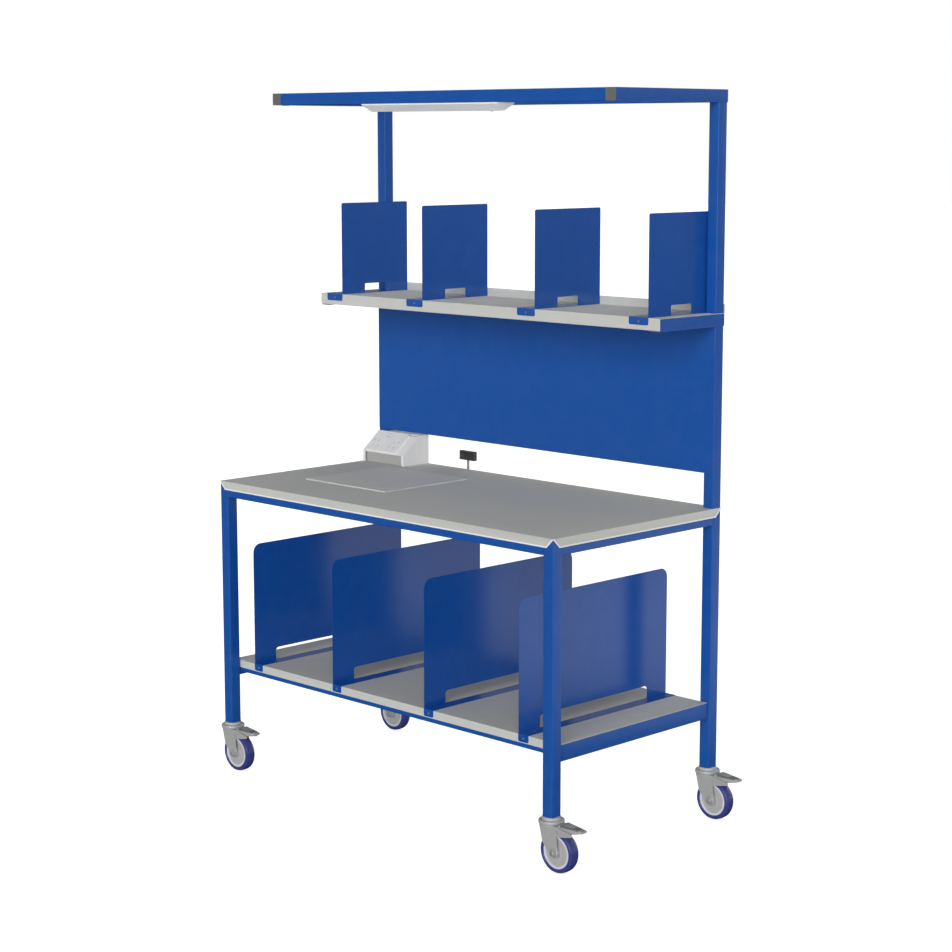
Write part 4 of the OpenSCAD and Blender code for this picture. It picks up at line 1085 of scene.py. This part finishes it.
@dataclass
class Scale:
    """The scale's platform and the weight display.

    Attributes:
        dresser: Puts finishes on pieces.
        edge: Width of the platform's rounded edge, which carries the painted highlight.
        recess: Depth of the recess in the display's front.
        border: Width of the case around the display's window, with the gap between them.
        corner: Corner radius of the window.
        window_edge: Radius of the window's edge.
    """

    dresser: Dresser
    edge: float = 1.2 * MM
    recess: float = 0.8 * MM
    border: float = 4.65 * MM
    corner: float = 1.5 * MM
    window_edge: float = 0.2 * MM

    def build(self) -> None:
        """Round the platform and paint its rounded edge paler as a painted highlight, round the
        case, and set the window into it.
        """
        platform = self.dresser.round_node("scale_platform", Rounding(self.edge, 3))
        # The bevel's faces take the paler finish: a painted highlight along the platform's rim.
        platform.data.materials.append(self.dresser.palette.get(Extra.bright_edge))
        platform.modifiers[0].material = 1
        pole = self.dresser.round_node("display_pole", Rounding(0.4 * MM))
        self.dresser.finish(pole, "table", Extra.pole, Slot.dark_steel)
        self.dresser.round_node("display_head", Rounding(0.7 * MM, 3))
        self.add_window()

    def add_window(self) -> None:
        """Set the glossy window into the display's recess."""
        low, high = span_of("display_head")
        width, _, height = high - low - 2 * self.border
        middle = (low + high) / 2
        middle[1] = low[1] + self.recess

        def place(points: Array) -> Array:
            """Turn the window's frame so that it faces the front."""
            return middle + points[:, [0, 2, 1]] * [1, -1, 1]

        window = slab(box_outline(width, height, self.corner), place, 0.7 * self.recess,
                      self.window_edge)
        self.dresser.add_piece("display_window", [window], "display_case", Extra.screen,
                               Slot.display_plastic)


@dataclass
class Console:
    """The folded console with its twin power socket, whose measures are in millimetres.

    Attributes:
        dresser: Puts finishes on pieces.
        slope: Two points of the console's slope, each as Y and Z.
        recess: Depth at which its front is set back between the folds.
        margin: How far from that depth a face still belongs to the front, which is painted a darker
            grey as painted shade.
        plate_thickness: Thickness of the plate.
        screw_place: Distance of the plate's screws from its middle.
        screw_head: Radius and height of their heads.
        outlet_place: Distance of the outlets from the plate's middle.
        pin_drop: Distance of the lower pin slots below the plate's middle.
        pin_place: Distance of the lower pin slots from the outlet's middle.
        pin_slot: Width and height of a lower pin slot.
        earth_rise: Height of the earth slot over the other two.
        earth_slot: Width and height of the earth slot.
        pin_depth: Depth of the pin slots.
        shutter_height: Height of a shutter.
        cable_place: Distances of the cable slots from the console's middle and up its slope.
        brush: Length and width of the grey sheet of painted shade under a cable slot.
        brush_height: Height of the sheet.
        brush_drop: Distance of the sheet's back under the slope.
        ease: Radius of the corners and edges of shutters and strips.
    """

    dresser: Dresser
    slope: tuple[Pair, Pair] = ((257.0, 1011.0), (333.0, 1075.0))
    recess: float = 10.0
    margin: float = 0.9
    plate_thickness: float = 9.0
    screw_place: float = 60.3
    screw_head: Pair = (3.4, 0.9)
    outlet_place: float = 39.0
    pin_drop: float = 25.0
    pin_place: float = 11.1
    pin_slot: Pair = (6.4, 3.7)
    earth_rise: float = 22.2
    earth_slot: Pair = (3.7, 8.0)
    pin_depth: float = 3.0
    shutter_height: float = 1.2
    cable_place: Pair = (77.0, 42.7)
    brush: Pair = (49.0, 8.0)
    brush_height: float = 1.0
    brush_drop: float = 3.0
    ease: float = 0.3

    def build(self) -> None:
        """Round the console, plate and rockers, give the recessed front painted shade, and fit
        screws, shutters and slot shade sheets.
        """
        console = self.dresser.round_node("socket_console", Rounding(0.5 * MM))
        # The recessed front between the folds is painted a darker grey: painted shade under the
        # slope's overhang.
        behind = face_middles(console.data)[:, 1] - span_of("socket_console")[0][1]
        front = abs(behind / MM - self.recess) < self.margin
        paint_faces(console, front, self.dresser.palette.get(Extra.shade))
        self.dresser.round_node("socket_plate", Rounding(1.2 * MM, 3))
        self.dresser.round_all(["rocker_left", "rocker_right"], Rounding(0.7 * MM, 3))
        self.add_screws()
        self.add_shutters()
        self.add_brushes()

    def place(self, points: Array) -> Array:
        """Turn points of the plate's own frame, in metres, into points in space.

        Args:
            points: Points as X, distance up the slope and height over the console.

        Returns:
            The points in space.
        """
        (y_low, z_low), (y_high, z_high) = self.slope
        angle = math.atan2(z_high - z_low, y_high - y_low)
        middle = at(0, (y_low + y_high) / 2, (z_low + z_high) / 2)
        middle[0] = middle_of("socket_plate")[0]
        turn = np.array([[1, 0, 0], [0, math.cos(angle), math.sin(angle)],
                         [0, -math.sin(angle), math.cos(angle)]])
        return middle + points @ turn

    def strip(self, shift: Array, size: Pair, height: float) -> Array:
        """Surface of a low rounded plate of a width and a length, shifted in the plate's frame."""
        width, length = size
        return slab(box_outline(width * MM, length * MM, self.ease * MM),
                    lambda points: self.place(points + shift), height * MM, self.ease * MM)

    def add_screws(self) -> None:
        """Fit the plate's two screws."""
        radius, height = self.screw_head
        heads = [dome_screw(at(side.value * self.screw_place, 0, self.plate_thickness),
                            np.array([0.0, 0.0, 1.0]), radius * MM, height * MM) for side in Side]
        placed = [self.place(head.reshape(-1, 3)).reshape(head.shape) for head in heads]
        self.dresser.add_piece("plate_screws", placed, "table", Extra.bolt, Slot.zinc_plate)

    def add_shutters(self) -> None:
        """Close the pin slots by their shutters, a little above the slots' bottoms."""
        level = self.plate_thickness - self.pin_depth
        slots = ((-self.pin_place, 0.0, self.pin_slot), (self.pin_place, 0.0, self.pin_slot),
                 (0.0, self.earth_rise, self.earth_slot))
        shutters = [self.strip(at(side.value * self.outlet_place + x, rise - self.pin_drop, level),
                               size, self.shutter_height)
                    for side in Side for x, rise, size in slots]
        self.dresser.add_piece("pin_shutters", shutters, "table", Extra.shutter,
                               Slot.switch_plastic)

    def add_brushes(self) -> None:
        """Lay grey sheets of painted shade in the cable slots, half a millimetre under the slope's
        sheet.
        """
        out, up = self.cable_place
        offset = (middle_of("socket_console") - middle_of("socket_plate")) * [1, 0, 0]
        # Each sheet's grey stands for the shade inside its slot: painted shade.
        strips = [self.strip(at(side.value * out, up, -self.brush_drop) + offset, self.brush,
                             self.brush_height) for side in Side]
        self.dresser.add_piece("cable_brushes", strips, "table", Extra.shade, Slot.light_paint)


@dataclass
class Castor:
    """One braked swivel castor, whose measures are in millimetres.

    Attributes:
        dresser: Puts finishes on pieces.
        corner: The corner of the table that it stands at.
        tyre: Section of half the tyre as distance from the axle and from its middle.
        core: Section of half the wheel's core, from its bore round to its bore.
        moulded: Rounding of the corners of both sections.
        swivel: Distance of the swivel's axis ahead of the axle.
        rim_radius: Radius beyond which the core is a lighter rim.
        fork_face: Distance of the fork's outer faces from the wheel's middle.
        washer: Radius and thickness of the axle's washers.
        washer_edge: Chamfer of the washers.
        nut: Width across the corners and height of the axle's head and nut.
        pin_radius: Radius of the axle.
        pin_edge: Chamfer at the axle's ends, across it and along it.
        pin_inset: Distance of the axle's ends below the faces of its head and nut.
        pedal_reach: Distances of the pedal's root and tip behind the swivel.
        pedal_height: Heights of the pedal's top at its root and tip above the floor.
        pedal_half: Half the pedal's width at its root and tip.
        tread_reach: Distances of the tread's ends behind the swivel.
        tread_sides: Depth of the tread's sides at its two ends.
        bar_middle: Distance of the grip bars behind the swivel.
        bar: Length and width of a grip bar.
        bar_height: Height of a grip bar.
        bar_shifts: Places of the grip bars across the pedal, as shares of its half width.
        slot_middle: Distance of the pedal's slot behind the swivel.
        slot: Length and width of the slot.
        slot_height: Height of the dark plate that shows the slot, painted shade in place of an
            opening.
        plate_corner: Corner radius of bars and slot.
        plate_edge: Largest radius of their upper edge.
    """

    dresser: Dresser
    corner: str
    tyre: tuple[Pair, ...] = (
        (49.02, 0), (49.02, 15.4), (50.4, 17.3), (54.2, 18.0), (59.4, 16.2), (61.7, 11.0),
        (62.42, 0.45), (62.5, 0.3), (62.5, 0))
    core: tuple[Pair, ...] = (
        (5.1, 0), (5.1, 20.6), (13.2, 20.6), (15.0, 19.2), (16.0, 12.3), (31.0, 11.8), (32.2, 12.8),
        (34.0, 12.8), (35.2, 11.8), (39.6, 12.2), (41.8, 15.4), (48.2, 15.7), (48.9, 15.1),
        (48.9, 0))
    moulded: float = 0.9
    swivel: float = 32.0
    rim_radius: float = 41.0
    fork_face: float = 24.0
    washer: Pair = (13.0, 1.6)
    washer_edge: float = 0.4
    nut: Pair = (22.0, 8.0)
    pin_radius: float = 5.0
    pin_edge: Pair = (1.4, 1.2)
    pin_inset: float = 0.2
    pedal_reach: Pair = (46.0, 127.0)
    pedal_height: Pair = (148.0, 144.0)
    pedal_half: Pair = (20.6, 10.0)
    tread_reach: Pair = (50.0, 116.0)
    tread_sides: Pair = (5.5, 3.0)
    bar_middle: float = 74.0
    bar: Pair = (36.0, 3.6)
    bar_height: float = 1.3
    bar_shifts: Triple = (-0.5, 0.0, 0.5)
    slot_middle: float = 121.0
    slot: Pair = (5.0, 11.0)
    slot_height: float = 0.12
    plate_corner: float = 1.2
    plate_edge: float = 0.4

    def build(self) -> None:
        """Build the wheel, the bolt and the pedal's tread, and round the fork and the pedal."""
        self.add_wheel()
        self.add_bolt()
        self.dresser.round_node(f"fork_{self.corner}", Rounding(0.6 * MM))
        self.dresser.round_node(f"brake_pedal_{self.corner}", Rounding(0.35 * MM))
        self.add_tread()

    def axle(self) -> Array:
        """Return the middle of the wheel."""
        return middle_of(f"tyre_{self.corner}")

    def mirrored(self, half: Array) -> Array:
        """Mirror half a wheel's section about its middle and drop the doubled points."""
        inner, outer = half[:-1], half[::-1] * [1, -1]
        return np.concatenate([inner, half[-1:], outer[1:], inner[:1]])

    def add_wheel(self) -> None:
        """Revolve the tyre and the core about the axle."""
        for kind, section, choice in (("tyre", self.tyre, Slot.tyre_blue),
                                      ("wheel_core", self.core, Slot.core_plastic)):
            half = rounded_profile(section, self.moulded, 4, closed=False) * MM
            node = f"{kind}_{self.corner}"
            piece = self.dresser.add_piece(
                f"{node}_moulded", [revolve(self.mirrored(half), self.axle(), Axis.Y, 144)],
                f"wheel_{self.corner}", choice, replaces=[node], sharp_angle=40.0)
            if choice is Slot.core_plastic:
                away = (face_middles(piece.data) - self.axle())[:, [0, 2]]
                paint_faces(piece, np.hypot(*away.T) > self.rim_radius * MM,
                            self.dresser.palette.get(Extra.rim))

    def add_bolt(self) -> None:
        """Make the axle bolt with its washers, its head and its nut."""
        middle = self.axle()
        (disc, thick), (corners, height), pin = self.washer, self.nut, self.pin_radius
        edge, (across, along) = self.washer_edge, self.pin_edge
        seat = self.fork_face + thick
        end = seat + height - self.pin_inset
        washer = np.array([(pin, 0), (disc - edge, 0), (disc, edge), (disc, thick - edge),
                           (disc - edge, thick), (pin, thick), (pin, 0)]) * MM
        rod = np.array([(0, -end), (pin - across, -end), (pin, along - end), (pin, end - along),
                        (pin - across, end), (0, end)]) * MM
        grids = [revolve(rod, middle, Axis.Y, 48)]
        for outward in (-1.0, 1.0):
            face, nut_seat = (middle + at(0, outward * y, 0) for y in (self.fork_face, seat))
            grids += [revolve(washer * [1, outward], face, Axis.Y, 48),
                      hexagon_nut(nut_seat, outward, corners * MM, height * MM,
                                  (pin - 0.1) * MM)]
        self.dresser.add_piece(f"axle_{self.corner}_bolt", grids, f"swivel_{self.corner}",
                               Extra.bolt, Slot.zinc_plate, [f"axle_{self.corner}"])

    def add_tread(self) -> None:
        """Lay the dark tread on the pedal, with three pale grip bars and a dark plate of painted
        shade for the slot near its tip.
        """
        bars = [self.plate(self.bar_middle, shift, self.bar, self.bar_height)
                for shift in self.bar_shifts]
        # The slot is a thin dark plate, not an opening: painted shade.
        slot = self.plate(self.slot_middle, 0.0, self.slot, self.slot_height)
        for kind, grids, choice in (("tread", [self.channel()], Extra.tread),
                                    ("bars", bars, Extra.bar), ("slot", [slot], Extra.shutter)):
            self.dresser.add_piece(f"pedal_{kind}_{self.corner}", grids, f"pedal_{self.corner}",
                                   choice, Slot.zinc_plate)

    def channel(self) -> Array:
        """Surface of the tread.

        At each distance x behind the swivel it is a shallow channel turned down over the pedal.
        Across it, at share s, the width follows 1.25 s up to the sides, and beyond them the sides
        drop. It thins out at both ends as the square root of the distance from them.

        Returns:
            A grid of sections along the pedal, whose columns close.
        """
        x = np.linspace(*self.tread_reach, 40)[:, None]
        share = np.linspace(-1, 1, 31)[None, :]
        across = np.clip(1.25 * share, -1, 1)
        sides = between(x, self.tread_reach, self.tread_sides)
        down = np.clip(np.abs(share) * 5 - 4, 0, 1) * sides
        inner, outer = (np.stack(np.broadcast_arrays(x, (self.half_width(x) + out) * across,
                                                     self.top(x) + up - down), axis=-1)
                        for out, up in ((-0.6, -0.3), (0.25, 0.7 * (1 - across ** 8))))
        edge = np.clip(np.minimum((x - x[0]) / 2, (x[-1] - x) / 1.5), 0, 1)[..., None] ** 0.5
        outer = inner + edge * (outer - inner)
        return self.to_table(np.concatenate([outer, inner[:, ::-1]], axis=1))

    def top(self, x: Array) -> Array:
        """Height of the pedal's top above the floor at a distance behind the swivel."""
        return between(x, self.pedal_reach, self.pedal_height)

    def half_width(self, x: Array) -> Array:
        """Half the pedal's width at a distance behind the swivel."""
        return between(x, self.pedal_reach, self.pedal_half)

    def to_table(self, points: Array) -> Array:
        """Turn points of the castor's own frame, in millimetres, into points in space."""
        return points * MM + (self.axle() - at(self.swivel, 0, 0)) * [1, 1, 0]

    def plate(self, middle: float, shift: float, size: Pair, height: float) -> Array:
        """Surface of a low rounded plate on the pedal's top.

        Args:
            middle: Distance of its middle behind the swivel.
            shift: Its place across the pedal, as a share of the half width.
            size: Its length and width.
            height: Its height over the pedal's top.

        Returns:
            A grid of rings, whose columns close.
        """
        def place(points: Array) -> Array:
            """Lay the plate on the sloping top."""
            x = points[:, 0] + middle
            y = points[:, 1] + shift * self.half_width(x)
            return self.to_table(np.column_stack([x, y, self.top(x) + points[:, 2]]))

        return slab(box_outline(*size, self.plate_corner), place, height,
                    min(self.plate_edge, height / 2))


@dataclass
class CastorTops:
    """The collars and the swivel heads, which are fixed to the legs.

    Attributes:
        dresser: Puts finishes on pieces.
        head: Section of a swivel head with its kingpin, as radius and height in millimetres.
    """

    dresser: Dresser
    head: tuple[Pair, ...] = (
        (0, 133.8), (9.2, 133.8), (10, 134.8), (10, 137.6), (6, 138.0), (6, 142.6), (34.5, 142.6),
        (37.8, 143.4), (38.35, 145.6), (38.35, 149.4), (37.3, 152.6), (33.1, 153.6), (30.4, 152.4),
        (28.4, 152.4), (27.4, 154.4), (6, 154.4), (6, 204.0), (4, 206.0), (0, 206.0))

    def build(self) -> None:
        """Revolve the four heads and round the collars."""
        outline = rounded_profile(self.head, 0.8, 4, closed=False) * MM
        heads = [revolve(outline, middle_of(f"leg_{corner}") * [1, 1, 0], Axis.Z)
                 for corner in CORNERS]
        self.dresser.add_piece("swivel_heads", heads, "table", Slot.zinc_plate,
                               replaces=["castor_heads"])
        self.dresser.round_node("castor_collars", Rounding(1.0 * MM, 3))


@dataclass
class Studio:
    """The floor, the lights and the camera.

    Attributes:
        place: The camera's place.
        tilt: Its tilt down, in degrees.
        turn: Its turn about Z, in degrees.
        lens: Its focal length, in millimetres.
        shift: The shift of the frame that the photograph's framing needs.
        sky: Brightness of the surroundings in front on the left and behind on the right.
        sky_reach: The X + Y of a ray over which it grows.
        floor_radius: Radius of the floor.
        floor_glow: How far the floor glows to the camera.
        floor_albedo: The floor's colour.
        behind: The X + Y over which the reflected floor brightens behind, and its two values.
        ahead: The X + Y over which it brightens far ahead, and its two values.
        near: The distance over which its brightness behind falls, and its two factors.
        spread: How broad each light is, in degrees.
        lights: Name, height, side and strength of each light.
    """

    place: Triple = (4.82174, -4.78741, 2.10102)
    tilt: float = 8.928
    turn: float = 44.876
    lens: float = 82.665
    shift: Pair = (-0.00853, 0.00091)
    sky: Pair = (0.05, 0.4)
    sky_reach: Pair = (-1.4, 1.4)
    floor_radius: float = 60.0
    floor_glow: float = 0.74
    floor_albedo: Triple = (0.85, 0.85, 0.85)
    behind: tuple[Pair, Pair] = ((2.0, 3.4), (0.0, 1.15))
    ahead: tuple[Pair, Pair] = ((-8.0, -14.0), (0.0, 0.35))
    near: tuple[Pair, Pair] = ((4.5, 9.0), (1.0, 0.15))
    spread: float = 50.0
    lights: tuple[tuple[str, float, float, float], ...] = (
        ("key", 8.0, 28.0, 3.2), ("rear", 6.0, 180.0, 1.3), ("left", 6.0, 270.0, 0.6),
        ("top", 90.0, 0.0, 0.25))

    def build(self) -> None:
        """Set up the camera, the surroundings, the floor and the lights."""
        bpy.context.scene.view_settings.view_transform = "Standard"
        self.add_camera()
        self.add_surroundings()
        self.add_floor()
        for light in self.lights:
            self.add_light(*light)

    def add_camera(self) -> None:
        """Place the camera."""
        camera = bpy.data.cameras.new("photograph")
        camera.lens, camera.sensor_width, camera.sensor_fit = self.lens, 36.0, "HORIZONTAL"
        camera.shift_x, camera.shift_y = self.shift
        camera.clip_end = 100.0
        carrier = new_object("photograph", camera)
        carrier.location = self.place
        carrier.rotation_euler = (math.radians(90 - self.tilt), 0, math.radians(self.turn))
        bpy.context.scene.camera = carrier

    def add_surroundings(self) -> None:
        """Make the surroundings white to the camera, and to light a gradient.

        As light, the surroundings grow from dark in front on the left to bright behind on the
        right, in proportion to the ray's X + Y.
        """
        world = bpy.data.worlds.new("surroundings")
        world.use_nodes = True
        tree = world.node_tree
        place = add(tree, "ShaderNodeTexCoord").outputs["Generated"]
        path = add(tree, "ShaderNodeLightPath").outputs["Is Camera Ray"]
        along = diagonal(tree, place, self.sky_reach, self.sky)
        background = tree.nodes["Background"].inputs
        feed(tree, (background["Color"], background["Strength"]),
             ((1, 1, 1, 1), combine(tree, "MAXIMUM", along, path)))
        bpy.context.scene.world = world

    def add_floor(self) -> None:
        """Lay the pale floor, a round sheet of rings whose radii grow as their number squared.

        To the camera it glows a little, so that it meets the white surroundings and still takes
        soft shadows. In reflections it is dark near the table, brightest behind it on the right and
        dim far away in front.
        """
        radii = np.linspace(0, 1, 20) ** 2 * self.floor_radius
        rings = np.column_stack([radii, np.zeros_like(radii)])
        floor = make_surface("floor", [revolve(rings, np.zeros(3), Axis.Z, 72)], 35.0)
        floor.data.materials.append(self.floor_finish())

    def floor_finish(self) -> Material:
        """Build the floor's material: matt, glowing to the camera and graded in reflections."""
        material = bpy.data.materials.new("floor white")
        material.use_nodes = True
        tree = material.node_tree
        tree.nodes.remove(tree.nodes["Principled BSDF"])
        path = add(tree, "ShaderNodeLightPath").outputs
        place = add(tree, "ShaderNodeNewGeometry").outputs["Position"]
        distance = add(tree, "ShaderNodeVectorMath", operation="LENGTH")
        lit = combine(tree, "MULTIPLY_ADD", diagonal(tree, place, *self.behind),
                      ramp(tree, distance.outputs["Value"], *self.near),
                      diagonal(tree, place, *self.ahead))
        glossy = combine(tree, "MULTIPLY", lit, path["Is Glossy Ray"])
        glow = combine(tree, "MULTIPLY_ADD", path["Is Camera Ray"], self.floor_glow, glossy)
        colour = mix(tree, path["Is Glossy Ray"], (*self.floor_albedo, 1), (0, 0, 0, 1))
        light, matt = add(tree, "ShaderNodeEmission"), add(tree, "ShaderNodeBsdfDiffuse")
        both = add(tree, "ShaderNodeAddShader")
        for source, target in ((place, distance.inputs[0]), (glow, light.inputs["Strength"]),
                               (colour, matt.inputs["Color"]), (light.outputs[0], both.inputs[0]),
                               (matt.outputs[0], both.inputs[1]),
                               (both.outputs[0], tree.nodes["Material Output"].inputs["Surface"])):
            tree.links.new(source, target)
        return material

    def add_light(self, name: str, height: float, turn: float, strength: float) -> None:
        """Add a broad, soft light far away.

        Args:
            name: Its name.
            height: The angle at which it stands over the floor, in degrees.
            turn: The side that it stands on, in degrees from the front towards the right.
            strength: Its strength.
        """
        light = bpy.data.lights.new(name, "SUN")
        light.energy, light.angle = strength, math.radians(self.spread)
        carrier = new_object(name, light)
        carrier.rotation_euler = (math.radians(90 - height), 0, math.radians(turn))
        carrier.visible_camera = False


def main() -> None:
    """Build and dress the table, then the studio around it."""
    logging.basicConfig(level=logging.INFO, format="%(message)s")
    dresser = Dresser(Palette())
    dresser.dress_nodes()
    for assembly in (Frame(dresser), Worktop(dresser), Shelves(dresser), Lamp(dresser),
                     Scale(dresser), Console(dresser), CastorTops(dresser)):
        assembly.build()
        log.info("built %s", type(assembly).__name__)
    for corner in CORNERS:
        Castor(dresser, corner).build()
    Studio().build()


if __name__ == "__main__":
    main()
